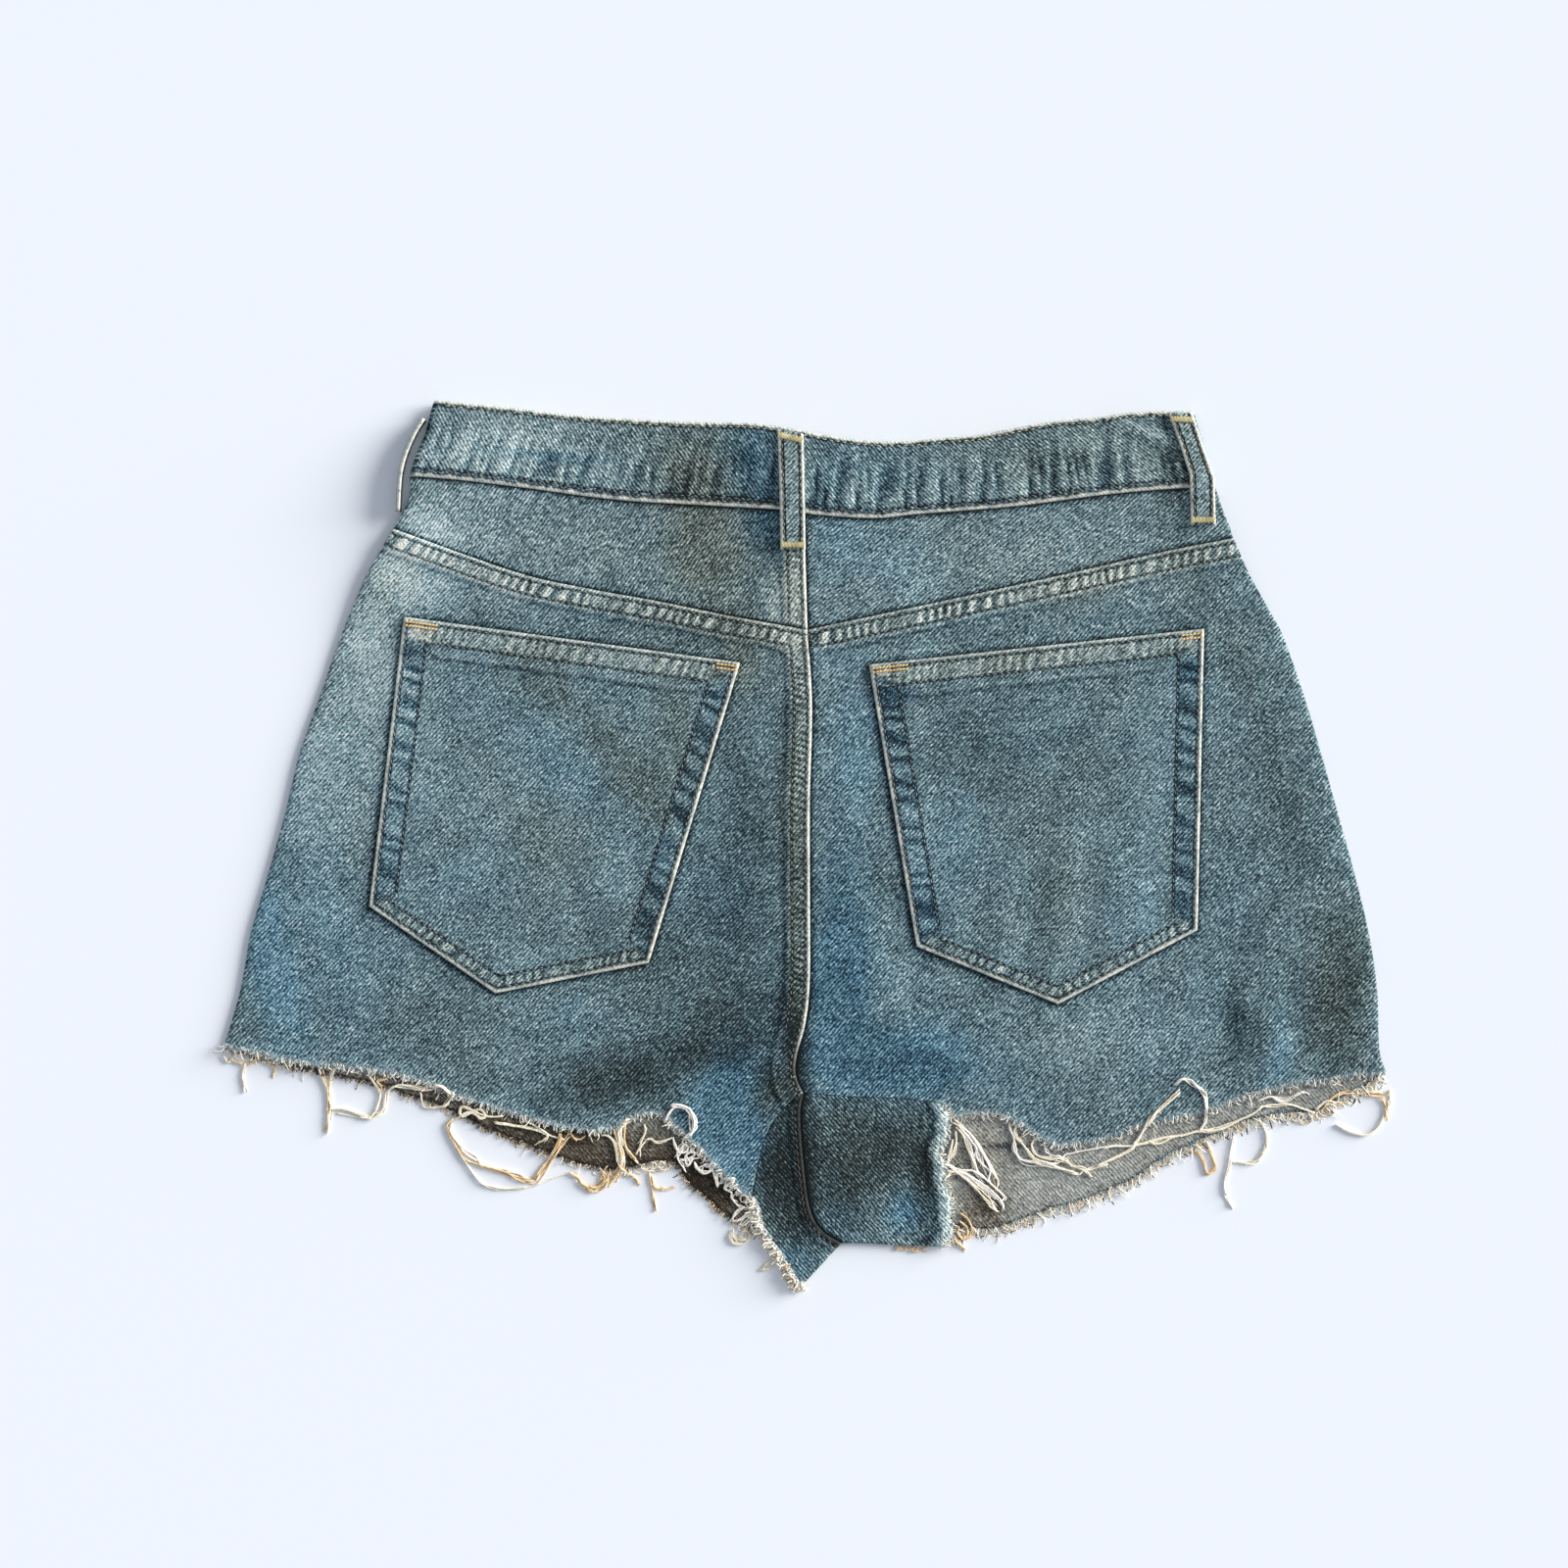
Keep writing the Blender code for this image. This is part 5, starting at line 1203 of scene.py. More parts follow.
for bolt, side in enumerate(("left", "right"), start=6):
    corners = POCKETS[side]
    mouth, side_right, foot_right, foot_left, side_left = edges = [
        straight_line([a, b]) for a, b in zip(corners, corners[1:] + corners[:1])]
    cut = CutPiece(closed_outline(*edges)[::-1],
                   [beside(mouth, MOUTH_DEPTH), beside(mouth, MOUTH_DEPTH + FELL_SLOPE)], reach=13)
    cut.set_grain(bolt)
    cut.set_wash_and_shade()
    seams = [
        (mouth, -1, 10.6, 5.4, 0.5, 0.13, 0.15, MOUTH_DEPTH, 0.22),
        (side_right, -1, 11.6, 10.0, 1.15, 0.1, 0.3, 0, -0.1),
        (foot_right, -1, 7.4, 4.9, 1.15, 0.2, 0.3, 0, 0.2),
        (foot_left, -1, 7.4, 4.9, 1.15, 0.2, 0.3, 0, 0.2),
        (side_left, -1, 11.6, 10.0, 1.15, 0.1, 0.3, 0, -0.1),
    ]
    cut.set_seams(seams)
    under = back_under(cut.flat) + CLOTH + GAP
    below_mouth = measure(mouth, cut.flat)[0]
    hem = MOUTH_RISE * (1 - smooth_step(MOUTH_DEPTH, MOUTH_DEPTH + FELL_SLOPE, below_mouth))
    pocket = cut.sew("pocket_cloth_" + side, under, under + CLOTH + hem + cut.pucker,
                     [denim_face, denim_reverse])
    thread = stitches("pocket_stitches_" + side, [row[4:-4] for row in rows_of(seams)], pocket, bolt)
    first, last = (round(length / EDGE_STEP) for length in TACK_LENGTHS[side])
    tacks = []
    for depth in TACK_ROWS:
        row = beside(mouth, depth)
        tacks += [row[1:1 + first], row[-1 - last:-1]]
    tack = stitches("pocket_tacks_" + side, tacks, pocket, bolt, tack_thread, above=0.1, pitch=1.5,
                    length=2.1, width=0.95, slant=0.25)
    cut.declare(pocket, "back_pocket_" + side, "denim", [backs[side]], [thread, tack])


# ---------------------------------------------------------------- yokes
# The two shaped yokes join the backs to the waistband. The left one carries the felled seat seam, whose
# twill runs the other way.

seat_in_yoke = smooth_curve(SEAT_SEAM_YOKE)
waist_seams = {"left": smooth_curve(WAIST_SEAM_LEFT), "right": smooth_curve(WAIST_SEAM_RIGHT)}
yoke_outlines = {
    "left": closed_outline(smooth_curve(SIDE_LEFT_YOKE), yoke_seams["left"], seat_in_yoke[::-1],
                           waist_seams["left"][::-1]),
    "right": closed_outline(seat_in_yoke, yoke_seams["right"], smooth_curve(SIDE_RIGHT_YOKE)[::-1],
                            waist_seams["right"][::-1]),
}
for bolt, side in enumerate(("left", "right"), start=8):
    cut = CutPiece(shrunk(yoke_outlines[side], GAP / 2))
    cut.set_grain(bolt, turn=6 if side == "left" else -6)
    # painted shadow lines along the yoke seam and below the waistband, and on the right yoke beside the seat
    # seam
    cut.set_wash_and_shade(paler=0.03, bluer=-0.1, painted_shadow_lines=[yoke_seams[side], waist_seams[side]]
                 + ([seat_in_yoke] if side == "right" else []))
    seams = [(seat_in_yoke, -1, FELL_ROW, 3.1, 1.15, 0.15, 0.15, FELL_WIDTH, 0.4)] if side == "left" else []
    fells = [(seat_in_yoke, -1, FELL_WIDTH)] if side == "left" else []
    cut.set_seams(seams)
    under = back_under(cut.flat)
    upper = under + CLOTH + fell_rise(fells, cut.flat) + cut.pucker - side_turn(cut.flat)
    yoke = cut.sew("yoke_cloth_" + side, under, upper, [denim_face, denim_reverse])
    threads = [stitches("yoke_stitches_" + side, rows_of(seams), yoke, bolt)] if seams else []
    cut.declare(yoke, "yoke_" + side, "denim", [backs[side]], threads)


# ---------------------------------------------------------------- turned-up inner thighs
# At the crotch the inner thighs of the fronts are folded up over the back, so their own face shows, darker
# than the back. The rise seam between them ends in a narrow double roll, and the right hem curls into a rope.

RISE_SEAM = [(-1, -112.5), (-2.5, -122.5), (-1, -144), (2, -165.5), (7.5, -175.5), (16.5, -181.5)]
RISE_WIDTH = 3.6
TURNUP_PATCHES = (
    # x,    y,   half x, half y, turn,  paler, bluer
    (-12, -150, 12, 38, 8, -0.38, -0.8),
    (1, -150, 5, 38, 0, -0.2, -0.3),
    (-4, -188, 8, 9, 20, 0.1, 0.8),
    (20, -134, 16, 26, 0, -0.26, -0.7),
    (42, -138, 12, 18, 0, -0.24, -0.6),
    (54, -154, 6, 26, 0, -0.3, -0.5),
    (22, -158, 14, 14, 0, -0.11, -0.2),
    (46, -167, 7, 8, -20, 0.02, 1.8),
    (16, -170, 8, 10, 20, -0.1, 0.2),
)
ROPE_RISE = 1.7                 # of the right hem, where it curls into a rope
ROPE_AT = 3.4                   # in from the hem
ROPE_HALF = 3.0
ROPE_PITCH = 4.6
ROPE_PALER = 0.42
ROPE_SHADE = 0.26               # painted shade in the hollow beside it
ROPE_SHADE_AT = 6.6
ROPE_SHADE_HALF = 1.5

rise_seam = smooth_curve(RISE_SEAM)
turnup_hems = {"left": ruffled(smooth_curve(HEM_TURNUP_LEFT), 23),
               "right": ruffled(smooth_curve(HEM_TURNUP_RIGHT), 24, 0.7)}
turnup_outlines = {
    "left": closed_outline(inseams["left"], turnup_hems["left"], smooth_curve(FOLD_LEFT), rise_seam[::-1]),
    "right": closed_outline(rise_seam, smooth_curve(FOLD_RIGHT), turnup_hems["right"],
                            inseams["right"][::-1]),
}
dark_thread = thread_finish("dark seam thread", [(30, 30, 30), (54, 52, 48), (80, 76, 68), (110, 104, 92)])
turnups = {}
for bolt, side in enumerate(("left", "right"), start=10):
    cut = CutPiece(shrunk(turnup_outlines[side], CLOSE_JOIN), butted=[inseams[side]])
    cut.set_grain(bolt, turn=84)
    # a deep painted shade along the rise seam, which darkens its brightly lit rim
    cut.set_wash_and_shade(WASH_AND_SHADE_PATCHES + TURNUP_PATCHES, frayed=[turnup_hems[side]], painted_shadow_lines=[rise_seam], shade=0.85)
    seams = [(rise_seam, -1, 2.6, 5.0, 0.05, 0.08, 0.15, RISE_WIDTH, 0.1)] if side == "left" else []
    cut.set_seams(seams)
    under = back_under(cut.flat)
    upper = under + CLOTH + fell_rise([(rise_seam, -1, RISE_WIDTH)] if side == "left" else [], cut.flat)
    if side == "right":
        distance, run, _ = measure(turnup_hems["right"], cut.flat)
        turns = run / ROPE_PITCH + 0.3 * distance + 0.5 * uneven(run, 77, 12)
        crinkle = 0.72 + 0.28 * np.sin(2 * math.pi * turns)
        rope = np.exp(-((distance - ROPE_AT) / ROPE_HALF) ** 2) * crinkle
        upper += ROPE_RISE * rope
        # the rope is rubbed pale, and painted shade darkens the hollow beside it
        hollow = np.exp(-((distance - ROPE_SHADE_AT) / ROPE_SHADE_HALF) ** 2)
        cut.finish["wash_and_shade"][:, 0] += ROPE_PALER * rope - ROPE_SHADE * hollow
        cut.finish["wash_and_shade"][:, 1] -= 0.2 * rope
    turnup = cut.sew("turnup_cloth_" + side, under, upper, [denim_face, denim_reverse])
    threads = []
    if seams:
        threads = [stitches("turnup_stitches_" + side, rows_of(seams), turnup, bolt, dark_thread)]
    cut.declare(turnup, "front_turnup_" + side, "denim", [backs[side]], threads)
    turnups[side] = turnup


# ---------------------------------------------------------------- waistband
# One strip of denim, folded double and sewn over the top edges of yokes and fronts. It runs all round and
# lies flat as a loop, with its ends at the centre front. It puckers along its lower edge.

WAIST_TOP = [(-170.5, 206), (-136, 202.5), (-100, 198.5), (-55, 196), (-28, 195.5), (-10, 193.5), (8, 190),
             (26, 187.5), (44, 187), (62, 188.5), (80, 190), (98, 193.5), (116, 196.5), (134, 198),
             (152, 200.5), (178, 201)]
BAND_WALL = 2.2
BAND_GAP = 1.0                  # between its back and its front
BAND_ENDS_AT = 0.53             # the share of the width where its ends meet in front
BAND_COLUMN = 1.9               # between points along it
BAND_ROW = 1.8                  # and up it
BAND_SECOND_ROW = 3.9           # of the stitches along its foot
BAND_NO_ROW = 60.0              # along its top there is no second row
BAND_TURN = np.radians(np.arange(-75, 76, 15))
BAND_PUCKER = 0.8
BAND_PUCKER_PITCH = 7.6
BAND_FOLDS = (
    ((143, 197), (172, 184), 1.0, 5),        # crest at the right end of the band
    ((-176, 190), (-165, 192), -0.8, 5),     # crease at the left end
    ((96, 178), (110, 169), -0.7, 6),
    ((6, 178), (18, 169), -0.7, 6),
    # smaller ones
    ((28, 182), (36, 164), -0.35, 3.5),
    ((52, 178), (60, 162), 0.35, 4),
    ((78, 184), (88, 168), -0.35, 4),
    ((124, 186), (134, 170), 0.3, 5),
    ((-120, 190), (-112, 172), 0.3, 6),
    ((-64, 188), (-60, 168), -0.35, 5),
    ((-34, 190), (-30, 164), -0.4, 4),
)
BAND_PATCHES = WASH_AND_SHADE_PATCHES + (
    (158, 190.5, 15, 1.5, -24, 0.22, 0.0),    # the crest as a painted highlight, and painted shade above it
    (166, 194.5, 8, 3, -20, -0.16, 0.2),
    # pale lines along two creases, and painted shade in the crease at the left end
    (103, 173, 8, 1.2, -35, 0.14, 0.0),
    (12, 173, 7, 1.2, -40, 0.14, 0.0),
    (-172, 193, 9, 2, 15, -0.14, 0.1),
)

waist_line = smooth_curve(WAIST_SEAM_LEFT + WAIST_SEAM_RIGHT[1:], 2) + (0, GAP / 2)
waist_top = smooth_curve(WAIST_TOP, 2)


def run_along(line):
    """The length run along a line to each of its points."""
    return np.concatenate([[0], np.cumsum(np.linalg.norm(np.diff(line, axis=0), axis=1))])


def at_shares(line, shares):
    """Points at shares of a line's length."""
    run = run_along(line)
    return np.column_stack([np.interp(shares * run[-1], run, line[:, axis]) for axis in (0, 1)])


def closed_section(name, section, caps, finish):
    """A wall of denim from rows of points round its section, one for each column, and faces at its ends."""
    rows, columns = section.shape[:2]
    faces = list(caps)
    for row in range(rows):
        here, above = row * columns, (row + 1) % rows * columns
        faces += [(here + i, here + i + 1, above + i + 1, above + i) for i in range(columns - 1)]
    piece = new_piece(name, section.reshape(-1, 3), faces, [denim_face], finish)
    shaping = bmesh.new()
    shaping.from_mesh(piece.data)
    bmesh.ops.recalc_face_normals(shaping, faces=shaping.faces)
    shaping.to_mesh(piece.data)
    shaping.free()
    return piece


def band_under(points):
    return raised_front(points) + BAND_WALL + BAND_GAP + folded(BAND_FOLDS, points)


band_width = np.linalg.norm(waist_line[-1] - waist_line[0])
band_inset = (BAND_WALL + BAND_GAP / 2) / band_width
band_steps = np.linspace(band_inset, 1 - band_inset, round(band_width / BAND_COLUMN))
clear = 0.6 * BAND_COLUMN / band_width
front_after = np.concatenate([[BAND_ENDS_AT + GAP / band_width],
                              band_steps[band_steps > BAND_ENDS_AT + clear]])
front_before = np.concatenate([band_steps[band_steps < BAND_ENDS_AT - clear], [BAND_ENDS_AT]])
flat_turn = math.pi / 2
turn_count = len(BAND_TURN)
# in order round the loop: front after the ends, right turn, back, left turn, front before the ends
shares = np.concatenate([front_after, np.full(turn_count, 1 - band_inset), band_steps[::-1],
                         np.full(turn_count, band_inset), front_before])
facing = np.concatenate([np.full(len(front_after), -flat_turn), BAND_TURN,
                         np.full(len(band_steps), flat_turn),
                         math.pi - BAND_TURN[::-1], np.full(len(front_before), -flat_turn)])
around = band_width * np.concatenate([front_after, np.full(turn_count, 1), 2 - band_steps[::-1],
                                      np.full(turn_count, 2), 2 + front_before])
foot = at_shares(waist_line, shares)
crown = at_shares(waist_top, shares)
tall = np.linalg.norm(crown - foot, axis=1).mean()
up_steps = np.concatenate([[0, 0.14, 0.6], np.linspace(1.5, tall - 1.5, round(tall / BAND_ROW)),
                           [tall - 0.6, tall - 0.14, tall]]) / tall
columns = len(shares)
rows = len(up_steps)
place = foot[None] + (crown - foot)[None] * up_steps[:, None, None]
flat_points = place.reshape(-1, 2)
low_middle = (raised_front(flat_points) + BAND_WALL / 2).reshape(rows, columns)
high_middle = (band_under(flat_points) + BAND_WALL / 2).reshape(rows, columns)
bend = (high_middle - low_middle) / 2
up = up_steps[:, None] * tall
from_edge = np.minimum(up, tall - up) + np.zeros((rows, columns))
half = BAND_WALL / 2 * np.sqrt(1 - np.clip(1 - from_edge / (BAND_WALL / 2), 0, 1) ** 2)
pucker_turns = (around[None] + 0.14 * up) / BAND_PUCKER_PITCH + 0.75 * uneven(around, 5, 46)[None]
pucker_place = 0.6 + 0.3 * smooth_step(-12, 10, place[..., 0]) * (1 - smooth_step(140, 160, place[..., 0]))
pucker = np.sin(2 * math.pi * pucker_turns) + 0.4 * np.sin(4 * math.pi * pucker_turns + 1.2)
pucker *= np.exp(-((up - 10) / 15) ** 2) * pucker_place
is_back = facing > 1.0
wave = np.zeros((rows, columns))
wave[:, is_back] = BAND_PUCKER * pucker[:, is_back] * smooth_step(0.3, 3, from_edge[:, is_back])
middle_x = place[..., 0] + bend * np.cos(facing)
middle_z = (low_middle + high_middle) / 2 + bend * np.sin(facing)
rings = [np.stack([middle_x + thickness * np.cos(facing), place[..., 1],
                   middle_z + thickness * np.sin(facing)], axis=2) for thickness in (half + wave, -half)]
loop_rows = 2 * rows - 2                # up the outside and down the inside
caps = []
for column in (0, columns - 1):
    for row in range(rows - 1):
        corner = [row, row + 1, (loop_rows - row - 1) % loop_rows, (loop_rows - row) % loop_rows]
        corner = list(dict.fromkeys(r * columns + column for r in corner))
        caps.append(tuple(corner if column else corner[::-1]))
pale, blue = wash_and_shade_at(flat_points, BAND_PATCHES, 0.02, -0.15)
# pale on the pucker ridges, darker and bluer in their hollows: partly rubbed wear, partly painted light and
# shade
pale = pale.reshape(rows, columns) + 0.22 * pucker - 0.02 * np.exp(-((up - 9) / 8) ** 2)
blue = blue.reshape(rows, columns) - 0.25 * pucker
low_half = up < tall - up
blank = np.zeros((rows, columns))
outside = {
    "grain": (around[None] + blank, up + blank, blank + 444),
    "wash_and_shade": (pale, blue, blank),
    "seam": (from_edge + 0.42 * uneven(around, 8, 7)[None] * (from_edge > 0.2), pucker_turns,
             np.where(low_half, BAND_SECOND_ROW, BAND_NO_ROW) + blank),
    "marks": (np.where(low_half, 1.4, 1.0) * (0.85 + 0.2 * uneven(around, 31, 14)[None]), blank, blank),
    "step": (blank, blank, blank),
}
sides = {key: np.stack(parts, axis=2) for key, parts in outside.items()}
waistband = closed_section(
    "waistband_cloth", np.concatenate([rings[0], rings[1][-2:0:-1]]), caps,
    {key: np.concatenate([values, values[-2:0:-1]]) for key, values in sides.items()})
tan_thread = thread_finish("tan seam thread",
                           [(104, 94, 74), (150, 138, 110), (192, 180, 150), (222, 212, 188)])
band_rows = [(waist_line + (0, inset))[3:-3] for inset in (FIRST_ROW, BAND_SECOND_ROW)]
band_thread = stitches("waistband_stitches", band_rows, waistband, 12)
top_thread = stitches("waistband_top_stitches", [(waist_top - (0, FIRST_ROW))[3:-3]], waistband, 13,
                      tan_thread)
ride_as(waistband, "waistband")


# ---------------------------------------------------------------- belt loops
# Strips of denim folded in three, with a row of stitches down both sides and a bar tack at both ends. Two
# lie on the back of the band, two under its front, and the left one sits on the fold and shows its edge.

LOOP_WALL = 1.6
LOOP_GAP = 0.55                 # of air below a loop
LOOP_STEP = (6, 1.5)            # a loop climbs onto the band between these distances below its seam
LOOPS = {
    "back": [(-13, 192.5), (-12, 165), (-11.5, 137), (0, 137), (-0.5, 165), (-1, 190)],
    "right": [(166, 200), (171, 186), (176, 171.5), (176.5, 148.5), (188, 148.5), (187.5, 170), (182.5, 184),
              (177.5, 199.5)],
}
LOOP_FRONT_X = {"front_left": -95, "front_right": 95}
LOOP_WIDTH = 12
LOOP_BELOW_BAND = 9
LOOP_LEFT_ROUTE = [(-174.8, 197), (-178.6, 191), (-182.3, 183), (-184.8, 175), (-185.9, 167), (-186.5, 155)]
LOOP_LEFT_HEIGHTS = (0.3, 9.4)
LOOP_LEFT_ROWS = (0, 0.14, 0.5, 1.2, 2.6, 4.4, 6.2, 7.9, 8.6, 8.96, 9.1)    # of points up its wall
LOOP_LEFT_BOW = 0.9
LOOP_ROW = 1.9                  # each row of stitches lies this far in from a loop's side
LOOP_TACKS = (2.2, -3.0)        # up from a loop's lower and upper end
LOOP_TACK_IN = 0.7              # and in from its sides


def cut_loop(bolt, left, right, mirrored=False, **wash_and_shade):
    """A loop cut between two sides, the left one running down and the right one up, and its seams."""
    cut = CutPiece(closed_outline(left, straight_line([left[-1], right[0]]), right,
                                  straight_line([right[-1], left[0]])), reach=20)
    cut.set_grain(bolt, mirrored=mirrored)
    cut.set_wash_and_shade((), **wash_and_shade)
    cut.set_seams([(side, 1, LOOP_ROW, 4.2, 1.1, 0, 0, 0, 0.4) for side in (left, right)])
    return cut


for bolt, (side, corners) in enumerate(LOOPS.items(), start=14):
    middle = len(corners) // 2
    left, right = straight_line(corners[:middle]), straight_line(corners[middle:])
    cut = cut_loop(bolt, left, right, paler=0.1, bluer=-0.35)
    seam_y = np.interp(np.mean([x for x, _ in corners]), waist_line[:, 0], waist_line[:, 1]) - GAP / 2
    on_yoke = back_under(cut.flat) + CLOTH + FELL_RISE
    on_band = band_under(cut.flat) + BAND_WALL
    on_band = np.where(cut.flat[:, 1] < seam_y, np.maximum(on_yoke, on_band), on_band)
    step = smooth_step(seam_y - LOOP_STEP[0], seam_y - LOOP_STEP[1], cut.flat[:, 1])
    under = on_yoke + (on_band - on_yoke) * step + LOOP_GAP
    loop = cut.sew("loop_cloth_" + side, under, under + LOOP_WALL, [denim_face])
    thread = stitches("loop_stitches_" + side, [beside(line, -LOOP_ROW)[1:-1] for line in (left, right)],
                      loop, bolt)
    ends = ((corners[middle - 1], corners[middle]), (corners[0], corners[-1]))
    tacks = [straight_line([(a[0] + LOOP_TACK_IN, a[1] + up), (b[0] - LOOP_TACK_IN, b[1] + up)], 0.8)
             for (a, b), up in zip(ends, LOOP_TACKS)]
    tack = stitches("loop_tacks_" + side, tacks, loop, bolt, loop_tack_thread, above=0.12, pitch=0.62,
                    length=3.4, slant=math.pi / 2 - 0.15)
    cut.declare(loop, "belt_loop_" + side, "denim", [waistband], [thread, tack])

for bolt, (side, x) in enumerate(LOOP_FRONT_X.items(), start=16):
    top = np.interp(x, waist_top[:, 0], waist_top[:, 1]) - 0.5
    bottom = np.interp(x, waist_line[:, 0], waist_line[:, 1]) - GAP / 2 - LOOP_BELOW_BAND
    cut = cut_loop(bolt, straight_line([(x - LOOP_WIDTH / 2, top), (x - LOOP_WIDTH / 2, bottom)]),
                   straight_line([(x + LOOP_WIDTH / 2, bottom), (x + LOOP_WIDTH / 2, top)]), mirrored=True)
    loop = cut.sew("loop_cloth_" + side, np.zeros(len(cut.flat)), np.full(len(cut.flat), WAIST_RAISE - GAP),
                   [denim_face])
    cut.declare(loop, "belt_loop_" + side, "denim", [waistband])

route = smooth_curve(LOOP_LEFT_ROUTE, 1.4)
low, high = LOOP_LEFT_HEIGHTS
tall = high - low
ups = np.array(LOOP_LEFT_ROWS) * tall / LOOP_LEFT_ROWS[-1]
half = LOOP_WALL / 2 * np.sqrt(1 - np.clip(1 - np.minimum(ups, tall - ups) / (LOOP_WALL / 2), 0, 1) ** 2)
bow = LOOP_LEFT_BOW * np.sin(math.pi * ups / tall)
outer, inner = ([np.column_stack([beside(route, b + way * h), np.full(len(route), low + u)])
                 for u, h, b in zip(ups, half, bow)] for way in (1, -1))
section = np.array(outer + inner[-2:0:-1])
loop_rows, columns = section.shape[:2]
up_section = np.concatenate([ups, ups[-2:0:-1]])[:, None] + np.zeros((loop_rows, columns))
blank = np.zeros_like(up_section)
edge_loop = closed_section(
    "loop_cloth_left", section,
    [tuple(row * columns for row in range(loop_rows))[::-1],
     tuple(row * columns + columns - 1 for row in range(loop_rows))],
    {key: np.stack(parts, axis=2) for key, parts in {
        "grain": (up_section, run_along(route)[None] + blank, blank + 640),
        "wash_and_shade": (blank + 0.04, blank, blank),
        "seam": (np.minimum(up_section, tall - up_section), blank, blank + LOOP_ROW),
        "marks": (blank + 1.2, blank, blank), "step": (blank, blank, blank)}.items()})
ride_as(edge_loop, "belt_loop_left")


# ---------------------------------------------------------------- frayed hems
# Every raw edge sheds its cross threads: a dense fringe of short white and pale blue ends, browner on the
# left front, whose darkest brown ends are partly painted shade from the back hem. The table keeps the lowest
# ends flat.

FRAY_ENDS = (
    # node,               hem,                    start and end,  layer, fringe colour
    ("fray_back_left", back_hems["left"], 0.004, 0.995, "back", "pale"),
    ("fray_turnup_left", turnup_hems["left"], 0.0, 1.0, "back", "white"),
    ("fray_turnup_right", turnup_hems["right"], 0.0, 1.0, "back", "pale"),
    ("fray_back_right", back_hems["right"], 0.02, 0.995, "back", "pale"),
    ("fray_front_left", front_hems["left"], 0.01, 0.95, "front", "tan"),
    ("fray_front_right", front_hems["right"], 0.02, 0.99, "front", "cream"),
)
FRAY_SHADES = {
    "pale": [(150, 172, 184), (196, 206, 206), (226, 224, 212), (242, 238, 226)],
    "blue": [(60, 92, 116), (104, 138, 158), (150, 178, 190), (200, 212, 214)],
    "tan": [(172, 130, 88), (222, 186, 138), (244, 219, 178), (251, 240, 214)],
    "cream": [(228, 213, 184), (245, 233, 208), (252, 245, 227), (254, 250, 240)],
    "white": [(220, 212, 198), (244, 238, 226), (252, 248, 240), (254, 252, 248)],
    # the darkest ends of the left front, partly painted shade from the back hem
    "brown": [(44, 38, 32), (74, 64, 52), (112, 98, 78), (164, 144, 114)],
}
FRINGE_LAYERS = {
    # shade, spacing, length, thickness, lift, inset
    "pale": (("pale", 0.5, 2.9, 0.5, 0.5, 1.0), ("blue", 0.8, 2.6, 0.48, 0.6, 1.8),
             ("white", 1.6, 3.2, 0.48, 0.4, 0.8), ("cream", 4.0, 5.0, 0.45, 0.1, 0.4)),
    "tan": (("brown", 0.45, 2.6, 0.45, 0.3, 0.9), ("tan", 1.6, 3.0, 0.42, 0.2, 0.6),
            ("cream", 4.6, 5.0, 0.4, 0.1, 0.4)),
    "cream": (("blue", 0.7, 2.4, 0.45, 0.4, 1.4), ("cream", 0.6, 5.0, 0.46, 0.2, 0.5),
              ("white", 1.1, 6.0, 0.45, 0.1, 0.2), ("tan", 3.4, 5.2, 0.45, 0.1, 0.4)),
    "white": (("blue", 0.9, 2.6, 0.48, 0.6, 1.9), ("white", 0.33, 4.2, 0.6, 0.6, 1.3),
              ("cream", 0.7, 4.8, 0.55, 0.3, 0.5), ("tan", 1.6, 3.8, 0.5, 0.1, 0.0)),
}
FRAY_FLOOR = 0.06               # the lowest ends lie this high above the table
FRAY_DROOP = -0.12              # how far the ends lean down
THREAD_STEP = 0.9               # between points along a loose thread
THREAD_WEIGHT = 1.5             # the main strand of a thread that has come apart
STRAY_STRANDS = 3               # thinner ones beside it
STRAY_REACH = 0.7               # and how far they wander from it
CURL_THICK = 0.6
FRAY_CURLS = (
    # node,              line,                                             curls, least and most radius, shade
    ("fray_turnup_left", turnup_hems["left"], 60, 1.0, 2.4, "white"),
    ("fray_turnup_left", turnup_hems["left"], 18, 0.8, 2.0, "tan"),
    ("fray_turnup_right", straight_line([(40, -183), (57, -183.6)]), 12, 0.6, 1.4, "tan"),
    ("fray_front_right", front_hems["right"], 46, 0.7, 1.6, "cream"),
    ("fray_front_right", front_hems["right"][-30:], 22, 1.4, 3.4, "cream"),
    ("fray_back_left", back_hems["left"][-30:], 26, 0.8, 2.0, "white"),
    ("fray_front_left", front_hems["left"][60:], 24, 0.7, 1.6, "tan"),
    ("fray_front_left", front_hems["left"][96:128], 18, 1.4, 3.4, "cream"),
)
THREAD_KINK = 0.07              # how unevenly a thread runs
THREAD_STACK = 0.9              # most that a thread climbs over others
